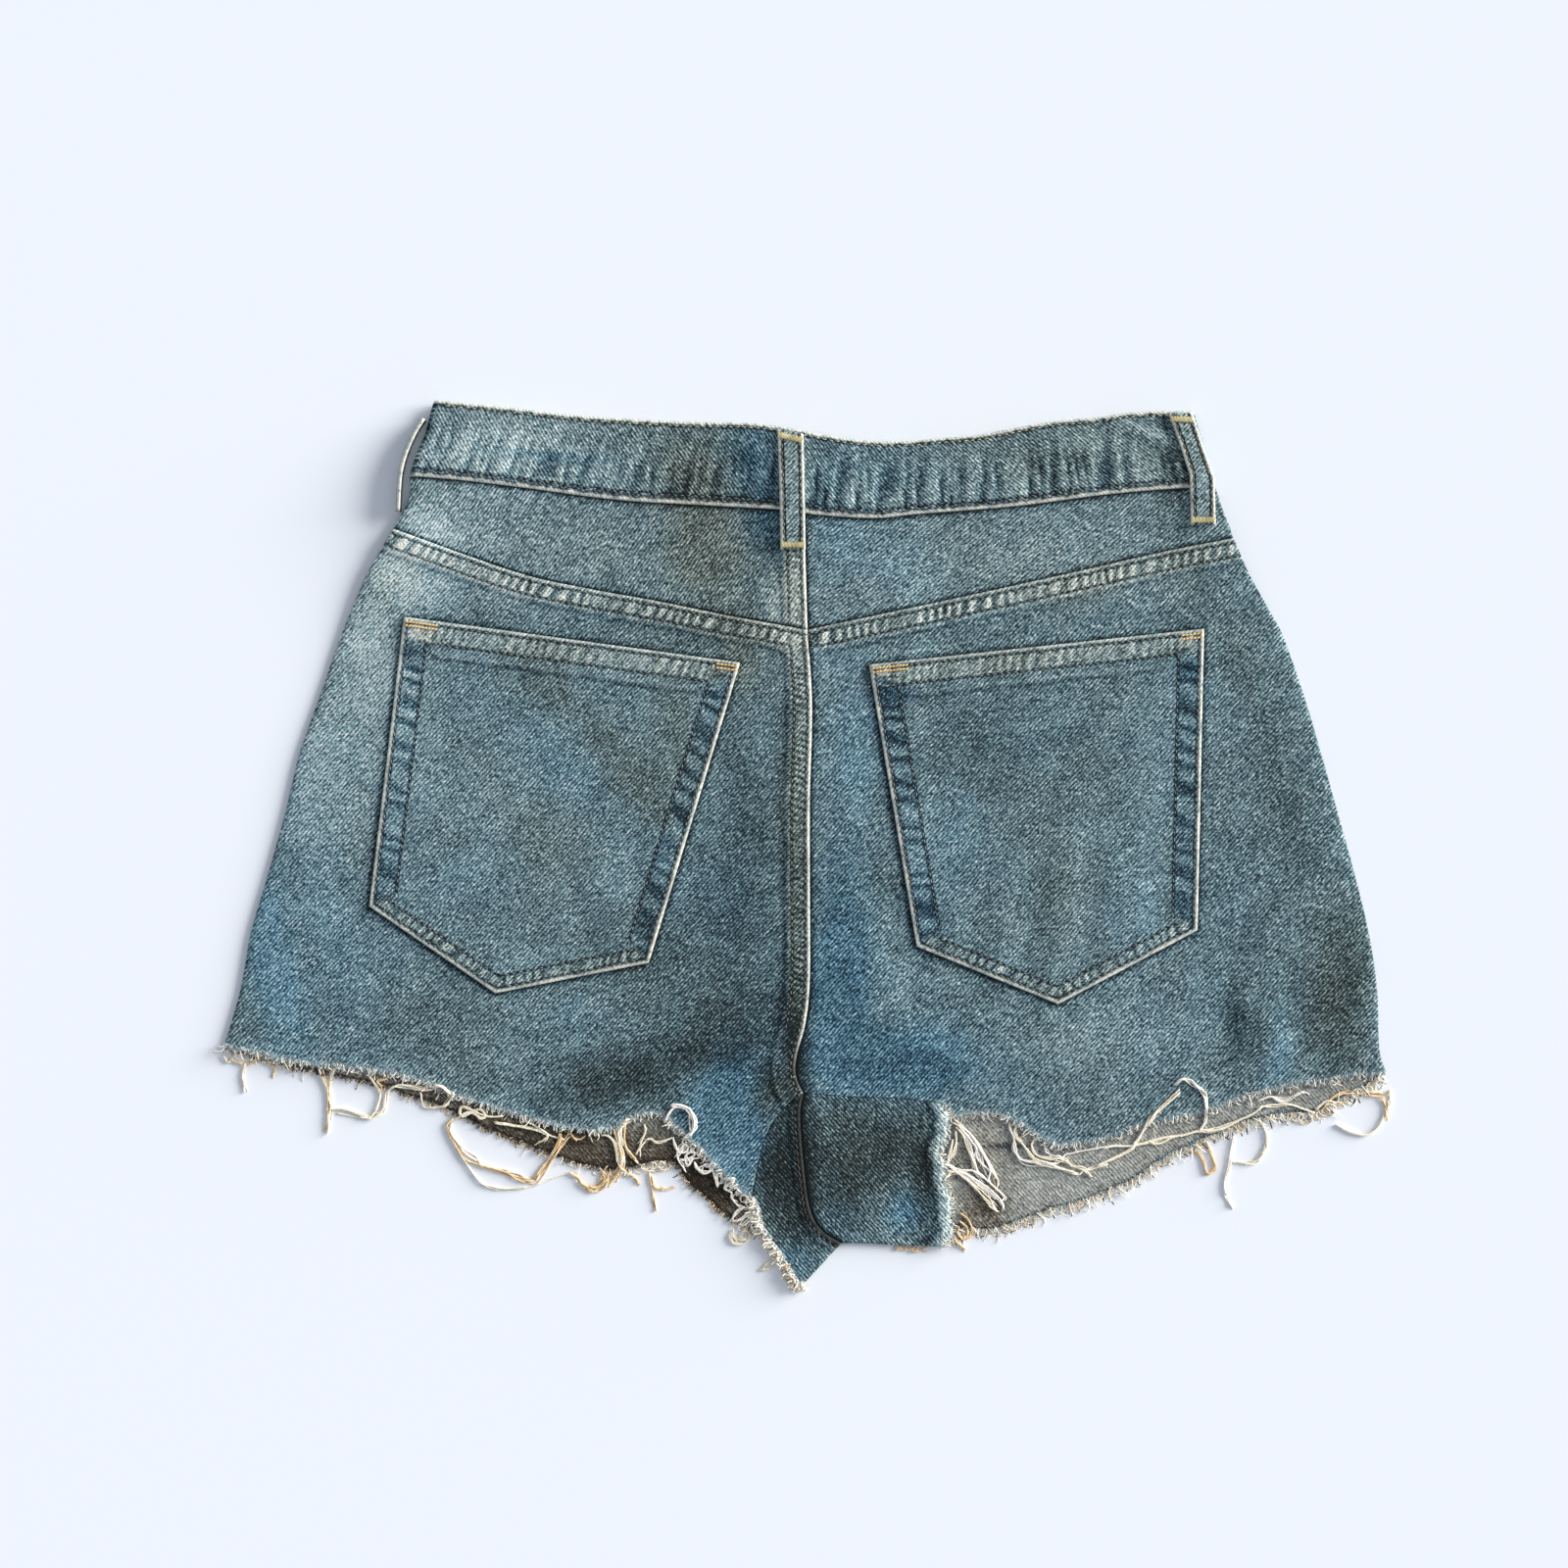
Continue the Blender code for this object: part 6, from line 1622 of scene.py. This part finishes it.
THREADS = {
    "fray_back_left": (
        ("cream", 0.6, (-224, -101), (-222, -106), (-219, -116), (-219, -123), (-220, -131)),
        ("tan", 0.45, (-222, -102), (-220, -112), (-220, -119), (-220, -125), (-222, -130)),
        ("cream", 0.5, (-216, -101), (-218, -104), (-219, -108), (-219, -114)),
        ("cream", 0.65, (-218, -120), (-212, -120), (-201, -124), (-198, -123), (-194, -120), (-193, -113),
         (-190, -110), (-186, -109), (-174, -111), (-169, -109), (-166, -110), (-163, -114), (-166, -118),
         (-171, -119), (-176, -119), (-177, -112)),
        ("cream", 0.55, (-201, -104), (-196, -112), (-196, -117), (-198, -121), (-202, -124), (-216, -122)),
        ("tan", 0.45, (-192.4, -105.9), (-197.2, -107), (-195.1, -109.3), (-195.7, -113.1)),
        ("cream", 0.5, (-268.1, -94.9), (-265.7, -98.1), (-262.3, -95.3), (-263.3, -93.5)),
        ("tan", 0.5, (-265, -97), (-258, -99), (-253, -97), (-250, -95)),
        ("cream", 0.5, (-258, -99), (-259, -105), (-258, -112)),
        ("cream", 0.5, (-250, -98), (-246, -98), (-242, -100), (-236, -100)),
        ("tan", 0.4, (-247.8, -98.5), (-244.6, -101.3), (-245.3, -105.9)),
        ("cream", 0.65, (-139, -123), (-147, -123), (-157, -119), (-159, -121), (-158, -123), (-152, -120),
         (-149, -120), (-147, -123), (-149, -124), (-154, -121), (-162, -125), (-164, -128), (-163, -131),
         (-158, -139), (-153, -143), (-147, -146), (-134, -149), (-127, -153)),
        ("tan", 0.6, (-162, -124), (-165, -127), (-164, -131), (-159, -141), (-155, -144), (-149, -146),
         (-138, -149), (-132, -152), (-126, -153), (-122, -150), (-109, -133), (-107, -133), (-104, -134),
         (-101, -132)),
        ("cream", 0.45, (-159, -141), (-150, -153), (-145, -156), (-138, -157), (-128, -156), (-109, -149)),
        ("cream", 0.6, (-143, -126), (-122, -130), (-118, -132), (-111, -134)),
        ("cream", 0.55, (-130.5, -125.5), (-127, -126.1), (-120.2, -130.2), (-118.6, -132),
         (-120.7, -134.3), (-123.2, -134.9)),
        ("tan", 0.6, (-113, -131), (-114, -136), (-124, -151)),
        ("cream", 0.5, (-161.6, -112.1), (-164.9, -117.4), (-168.5, -119.3), (-173, -119.4)),
        ("tan", 0.6, (-104, -153), (-100, -157), (-97, -158), (-93, -156), (-83, -142)),
        ("cream", 0.7, (-79, -124), (-83, -125), (-85, -128), (-85, -133), (-83, -137), (-77, -145)),
        ("cream", 0.65, (-80, -125), (-83, -127), (-86, -131), (-84, -141), (-85, -147), (-88, -152),
         (-93, -156)),
        ("tan", 0.65, (-88, -129), (-85, -140), (-85, -146), (-87, -151), (-91, -156)),
        ("cream", 0.65, (-94, -132), (-91, -132), (-88, -136), (-86, -145), (-83, -149), (-79, -151)),
        ("tan", 0.55, (-83, -126), (-83, -136), (-78, -143)),
        ("cream", 0.5, (-74, -127), (-74, -130), (-76, -136), (-78, -141)),
        ("cream", 0.55, (-61, -133), (-68, -135), (-71, -134), (-73, -134), (-78, -140)),
        ("white", 0.8, (-65, -126), (-63, -122), (-60, -119), (-56, -119), (-54, -120), (-52, -124),
         (-52, -128), (-54, -132), (-56, -133)),
        ("white", 0.7, (-62, -118), (-58, -118), (-54, -119), (-52, -122), (-51, -126), (-52, -130),
         (-54, -132)),
        ("white", 0.6, (-61, -133), (-60, -136), (-58, -140), (-55, -139), (-54, -137), (-56, -136),
         (-58, -138), (-59, -142), (-56, -145), (-56, -147), (-55, -149)),
        ("white", 0.55, (-57.9, -142.9), (-54.3, -142.9), (-50.9, -140.8), (-52.4, -139.4), (-55, -141.6),
         (-53.6, -145.6), (-51.6, -142.8), (-48.9, -142.2), (-50.4, -139.8)),
        ("white", 0.6, (-51.2, -144.1), (-49.6, -146.9), (-47.1, -148.9), (-43.8, -148.2), (-43.3, -145.5),
         (-46.3, -145.3), (-47.9, -148.1), (-49.7, -146.2)),
        ("white", 0.55, (-42.7, -147.8), (-41.7, -152.1), (-40.3, -155.5), (-41, -150.9), (-40.3, -148.2),
         (-38.5, -150.2), (-38.2, -152.8), (-40, -153.5)),
    ),
    "fray_front_left": (
        ("tan", 0.6, (-109, -149), (-105, -151), (-103, -154), (-99, -156), (-95, -155), (-92, -152),
         (-93, -149), (-91, -146)),
        ("tan", 0.55, (-99.9, -155.4), (-95.9, -156.1), (-92.5, -153.5), (-90.7, -149.5), (-93.8, -150.6),
         (-94.6, -153.4)),
        ("tan", 0.45, (-84.8, -146.8), (-78.1, -152.2), (-76, -154.8)),
        ("tan", 0.4, (-72, -149), (-69, -167)),
        ("tan", 0.4, (-70.9, -150.7), (-68.9, -156.1), (-64.2, -156.8), (-60.2, -155.4)),
    ),
    "fray_turnup_left": (
        ("white", 0.55, (-37, -152), (-33, -152), (-37, -156), (-34, -158), (-34, -161), (-31, -164),
         (-26, -165), (-24, -163), (-25, -160)),
        ("white", 0.55, (-27.8, -164.7), (-31.9, -167.1), (-33.9, -171.2), (-30.6, -171.2), (-26.5, -167.9),
         (-23.8, -167.4), (-27.8, -172), (-31.2, -174), (-28.5, -174), (-24, -170), (-22.5, -172.7),
         (-22.5, -176.6)),
        ("cream", 0.55, (-33.9, -175.8), (-34.7, -178.6), (-32.6, -181.8), (-28.5, -181.9), (-25.8, -179.9),
         (-25.3, -177.1), (-27.9, -175.8), (-30.6, -177.8), (-28.6, -179.9)),
        ("cream", 0.5, (-33.2, -174.8), (-33.5, -178.6), (-31.2, -180.6), (-27.8, -179.9), (-26.6, -177.8)),
        ("white", 0.5, (-24, -175.8), (-21.2, -177.8), (-17.9, -181.1), (-17.2, -186.5), (-19.4, -183.1),
         (-21.9, -183.9), (-20.7, -186.5)),
        ("cream", 0.5, (-14.7, -188.4), (-17.4, -190.7), (-19.9, -193.8), (-16.6, -193.1), (-13.4, -191.7)),
    ),
    "fray_turnup_right": (
        ("cream", 0.6, (68, -124), (78, -134), (83, -143), (88, -152), (88, -155)),
        ("white", 0.6, (68, -126), (72, -129), (79, -138), (82, -147), (85, -154)),
        ("white", 0.6, (69, -128), (73, -132), (76, -137), (79, -148), (82, -151)),
        ("cream", 0.6, (70, -129), (73, -133), (78, -146)),
        ("white", 0.6, (70, -127), (78, -137), (79, -142), (82, -146), (86, -149), (88, -152)),
        ("white", 0.6, (72, -128), (77, -133), (84, -145), (85, -149), (84, -153)),
        ("cream", 0.6, (69, -130), (69, -136), (66, -144)),
        ("white", 0.6, (67.8, -133.8), (67.1, -138.2), (64.8, -145.4)),
        ("white", 0.6, (64, -145), (67, -146), (71, -148), (76, -148), (80, -150), (84, -153), (91, -160),
         (90, -162)),
        ("cream", 0.6, (66, -146), (74, -151), (82, -158), (88, -166)),
        ("white", 0.6, (65, -148), (74, -150), (79, -154), (88, -161), (91, -165)),
        ("cream", 0.6, (67, -147), (76, -154), (86, -165), (89, -167)),
        ("white", 0.6, (70, -148), (74, -150), (84, -156), (90, -162), (91, -166)),
        ("cream", 0.6, (64, -151.9), (66.2, -149.2), (69, -148)),
        ("tan", 0.55, (71, -168), (74, -170), (76, -174), (76, -178), (73, -180), (71, -179), (72, -175)),
        ("tan", 0.5, (71, -171.4), (73.3, -173.2), (74.1, -176.4), (72.7, -179.7), (70, -177),
         (70.4, -174.1)),
        ("tan", 0.45, (68.9, -178.8), (71.1, -182.4), (73.6, -184.8)),
    ),
    "fray_back_right": (
        ("white", 0.65, (94, -126), (94, -129), (96, -133), (96, -138), (98, -142), (102, -144),
         (114, -145), (118, -143), (119, -141), (123, -140), (139, -137)),
        ("cream", 0.65, (97, -127), (96, -130), (97, -133), (100, -136), (104, -142), (107, -143),
         (124, -149), (129, -148), (139, -145)),
        ("cream", 0.55, (106, -133), (104, -136), (105, -139), (108, -142), (118, -143), (123, -146),
         (128, -148), (132, -151)),
        ("white", 0.5, (107.6, -136.4), (109.9, -136.5), (111, -138.8), (113.1, -141.2), (117.5, -141.5)),
        ("cream", 0.65, (137, -138), (141, -137), (150, -137), (164, -133), (173, -132), (181, -130),
         (189, -129), (204, -123), (210, -119), (216, -118), (223, -118), (235, -122)),
        ("cream", 0.75, (134, -146), (148, -139), (152, -135), (160, -123), (172, -112)),
        ("white", 0.6, (181, -130), (184, -125), (184, -118), (183, -112), (178, -108), (173, -106),
         (169, -109)),
        ("cream", 0.5, (157.1, -134.4), (162.6, -135.6), (169, -132.3)),
        ("white", 0.55, (208, -116), (214, -114), (220, -116), (228, -112), (232, -113)),
    ),
    "fray_front_right": (
        ("cream", 0.55, (209, -125), (212, -131), (212, -137), (207, -144), (200, -145), (196, -144)),
        ("tan", 0.5, (184, -134), (187, -141), (188, -147), (185, -150), (183, -144), (180, -140),
         (177, -139)),
        ("white", 0.5, (197, -132), (195, -146), (193, -153), (193, -160), (197, -166)),
        ("cream", 0.6, (244, -127), (250, -130), (257, -132), (263, -129), (267, -123), (269, -116),
         (269, -111)),
        ("tan", 0.6, (237, -121), (246, -113), (266, -114), (269, -111)),
        ("tan", 0.5, (264.9, -114.8), (266.7, -119.6), (267.2, -124.1)),
        ("cream", 0.5, (234.6, -120.1), (240, -116.1), (244.4, -117.3), (245.3, -112.3)),
    ),
}


def build_fringe_grower():
    """Loose thread ends along a raw edge: thin curved fibres that point away from the cloth."""
    group, given = new_grower("frayed ends", "Pitch", "Length", "Thickness")
    ring = add_node(group, "GeometryNodeCurvePrimitiveCircle", Resolution=3,
                    Radius=Value(given["Thickness"]) * 0.5)
    along = add_node(group, "GeometryNodeSplineParameter")
    taper = add_node(group, "ShaderNodeMapRange", Value=along.outputs["Factor"], To_Min=1.0, To_Max=0.4)
    kinds = add_node(group, "GeometryNodeGeometryToInstance")
    for middle, end in (((0.5, 0.22, 0.1), (1.0, 0.05, -0.1)), ((0.4, -0.3, 0.15), (0.9, -0.1, 0.1)),
                        ((0.6, 0.4, -0.1), (0.75, -0.25, 0.2))):
        fibre = add_node(group, "GeometryNodeCurveQuadraticBezier", Resolution=4, Start=(-0.15, 0, 0),
                         Middle=middle, End=end)
        sized = add_node(group, "GeometryNodeTransform", Geometry=fibre.outputs[0], Scale=given["Length"])
        tapered = add_node(group, "GeometryNodeSetCurveRadius", Curve=sized.outputs[0],
                           Radius=taper.outputs["Result"])
        tube = add_node(group, "GeometryNodeCurveToMesh", Curve=tapered.outputs[0],
                        Profile_Curve=ring.outputs[0], Fill_Caps=True)
        plug(kinds.inputs[0], tube.outputs[0])
    away = add_node(group, "GeometryNodeInputNamedAttribute", {"data_type": "FLOAT_VECTOR"}, Name="outwards")
    size = add_node(group, "FunctionNodeRandomValue", {"data_type": "FLOAT"}, Min=0.35, Max=1.3,
                    Seed=given["Seed"])
    away_value, size_value = (next(s for s in node.outputs if s.enabled and s.name in ("Attribute", "Value"))
                              for node in (away, size))
    return follow_lines(group, given, kinds.outputs[0], away_value, (math.pi, 0.35, 0.85), scale=size_value,
                        pick=True)


fringe_grower = build_fringe_grower()
fray_finish = {shade: thread_finish("frayed thread " + shade, colours)
               for shade, colours in FRAY_SHADES.items()}
cloth_surface = surface_of(*fronts, *backs.values(), *turnups.values())
laid_points = []                # of the threads that lie there already, with their thickness


def laid_thread(points, thick, seed):
    """A loose thread along the points, lying on the cloth or the table and over the threads before it."""
    line = smooth_curve(points, THREAD_STEP)
    chance = np.random.default_rng(seed)
    line[1:-1] += np.cumsum(chance.normal(0, THREAD_KINK, line.shape), axis=0)[1:-1] * 0.3
    line[1:-1] += chance.normal(0, THREAD_KINK, line.shape)[1:-1]
    heights = np.zeros(len(line))
    others = np.array(laid_points).reshape(-1, 4)
    for index, (x, y) in enumerate(line):
        place = cloth_surface.ray_cast((x, y, OVERHEAD), (0, 0, -1))[0]
        heights[index] = (place.z if place else 0) + thick / 2
        if len(others):
            near = np.hypot(others[:, 0] - x, others[:, 1] - y) < 0.8 * (others[:, 3] + thick) / 2
            if near.any():
                top = (others[near, 2] + others[near, 3] / 2).max() + thick / 2
                heights[index] = min(max(heights[index], top), heights[index] + THREAD_STACK)
    padded = np.pad(heights, 2, "edge")
    highest = np.max([padded[i:i + len(heights)] for i in range(1, 4)], axis=0)
    padded = np.pad(highest, 2, "edge")
    soft = sum(w * padded[i:i + len(heights)] for i, w in enumerate((0.1, 0.2, 0.4, 0.2, 0.1)))
    line = np.column_stack([line, np.maximum(soft, heights)])
    laid_points.extend(np.column_stack([line, np.full(len(line), thick)]).tolist())
    return line


def add_tube(into, line, thick, slot_index, sides):
    """A thread as a thin tube with closed ends, tapering at both."""
    along = unit(np.gradient(line, axis=0))
    across = unit(np.column_stack([-along[:, 1], along[:, 0], np.zeros(len(line))]))
    up = np.cross(along, across)
    rings = []
    for index, (centre, side, top) in enumerate(zip(line, across, up)):
        radius = thick / 2 * (0.55 if index in (0, len(line) - 1) else 1)
        rings.append([into.verts.new((centre + radius * (math.cos(a) * side + math.sin(a) * top)) * MM)
                      for a in np.arange(sides) * 2 * math.pi / sides])
    faces = [into.faces.new(rings[0][::-1]), into.faces.new(rings[-1])]
    for ring, after in zip(rings, rings[1:]):
        faces += [into.faces.new((ring[i], ring[(i + 1) % sides], after[(i + 1) % sides], after[i]))
                  for i in range(sides)]
    for face in faces:
        face.material_index = slot_index
        face.smooth = True


def curl_beside(line, least, most, chance):
    """A short end that curls back on itself at some place along the line."""
    place = chance.integers(1, len(line) - 1)
    along = line[place + 1] - line[place - 1]
    outwards = math.atan2(-along[0], along[1])
    radius = chance.uniform(least, most)
    start = outwards + math.pi + chance.uniform(-0.7, 0.7)
    turns = start + chance.choice([-1, 1]) * np.linspace(0, chance.uniform(2.6, 5.4), 8)
    middle = line[place] + radius * 0.8 * np.array([math.cos(outwards), math.sin(outwards)])
    return [(middle[0] + radius * math.cos(a), middle[1] + 0.8 * radius * math.sin(a)) for a in turns]


shades = list(FRAY_SHADES)
for order, (node, hem, start, end, layer, fringe_colour) in enumerate(FRAY_ENDS):
    last = len(hem) - 1
    edge = hem[int(start * last):int(end * last) + 1]
    away = np.column_stack([right_of(edge), np.full(len(edge), FRAY_DROOP)])
    middle = (back_under(edge) if layer == "back" else np.zeros(len(edge))) + CLOTH / 2
    joining = bmesh.new()
    for layer_order, (shade, spacing, length, thick, lift, inset) in enumerate(FRINGE_LAYERS[fringe_colour]):
        roots = np.column_stack([beside(edge, -inset), middle + lift])
        ends = grown(node + "_ends", fringe_grower, [roots], away, Pitch=spacing * MM, Length=length * MM,
                     Thickness=thick * MM, Thread=fray_finish[shade], Seed=10 * order + layer_order).data
        slots = np.full(len(ends.polygons), shades.index(shade), np.int32)
        ends.polygons.foreach_set("material_index", slots)
        joining.from_mesh(ends)
        bpy.data.meshes.remove(ends)
    for vertex in joining.verts:
        vertex.co.z = max(vertex.co.z, FRAY_FLOOR * MM)
    for thread_order, (shade, thick, *points) in enumerate(THREADS[node]):
        line = laid_thread(points, THREAD_WEIGHT * thick, 100 * order + thread_order)
        add_tube(joining, line, THREAD_WEIGHT * thick, shades.index(shade), 5)
        for strand in range(STRAY_STRANDS):
            chance = np.random.default_rng(1000 * order + 10 * thread_order + strand)
            ease = np.linspace(0, 1, len(points))[:, None]
            stray = np.array(points) + chance.normal(0, STRAY_REACH, (len(points), 2)) * (0.3 + ease)
            reach = max(3, round(len(points) * chance.uniform(0.6, 1.0)))
            stray = laid_thread(stray[:reach], thick, int(chance.integers(9999)))
            add_tube(joining, stray, thick, shades.index(shade), 4)
    for curled, line, count, least, most, shade in FRAY_CURLS:
        if curled == node:
            chance = np.random.default_rng(count)
            for _ in range(count):
                curl = curl_beside(line, least, most, chance)
                curl = laid_thread(curl, CURL_THICK, int(chance.integers(9999)))
                add_tube(joining, curl, CURL_THICK, shades.index(shade), 4)
    fringe = new_piece(node + "_threads", [], [], fray_finish.values())
    joining.to_mesh(fringe.data)
    joining.free()
    ride_as(fringe, node)
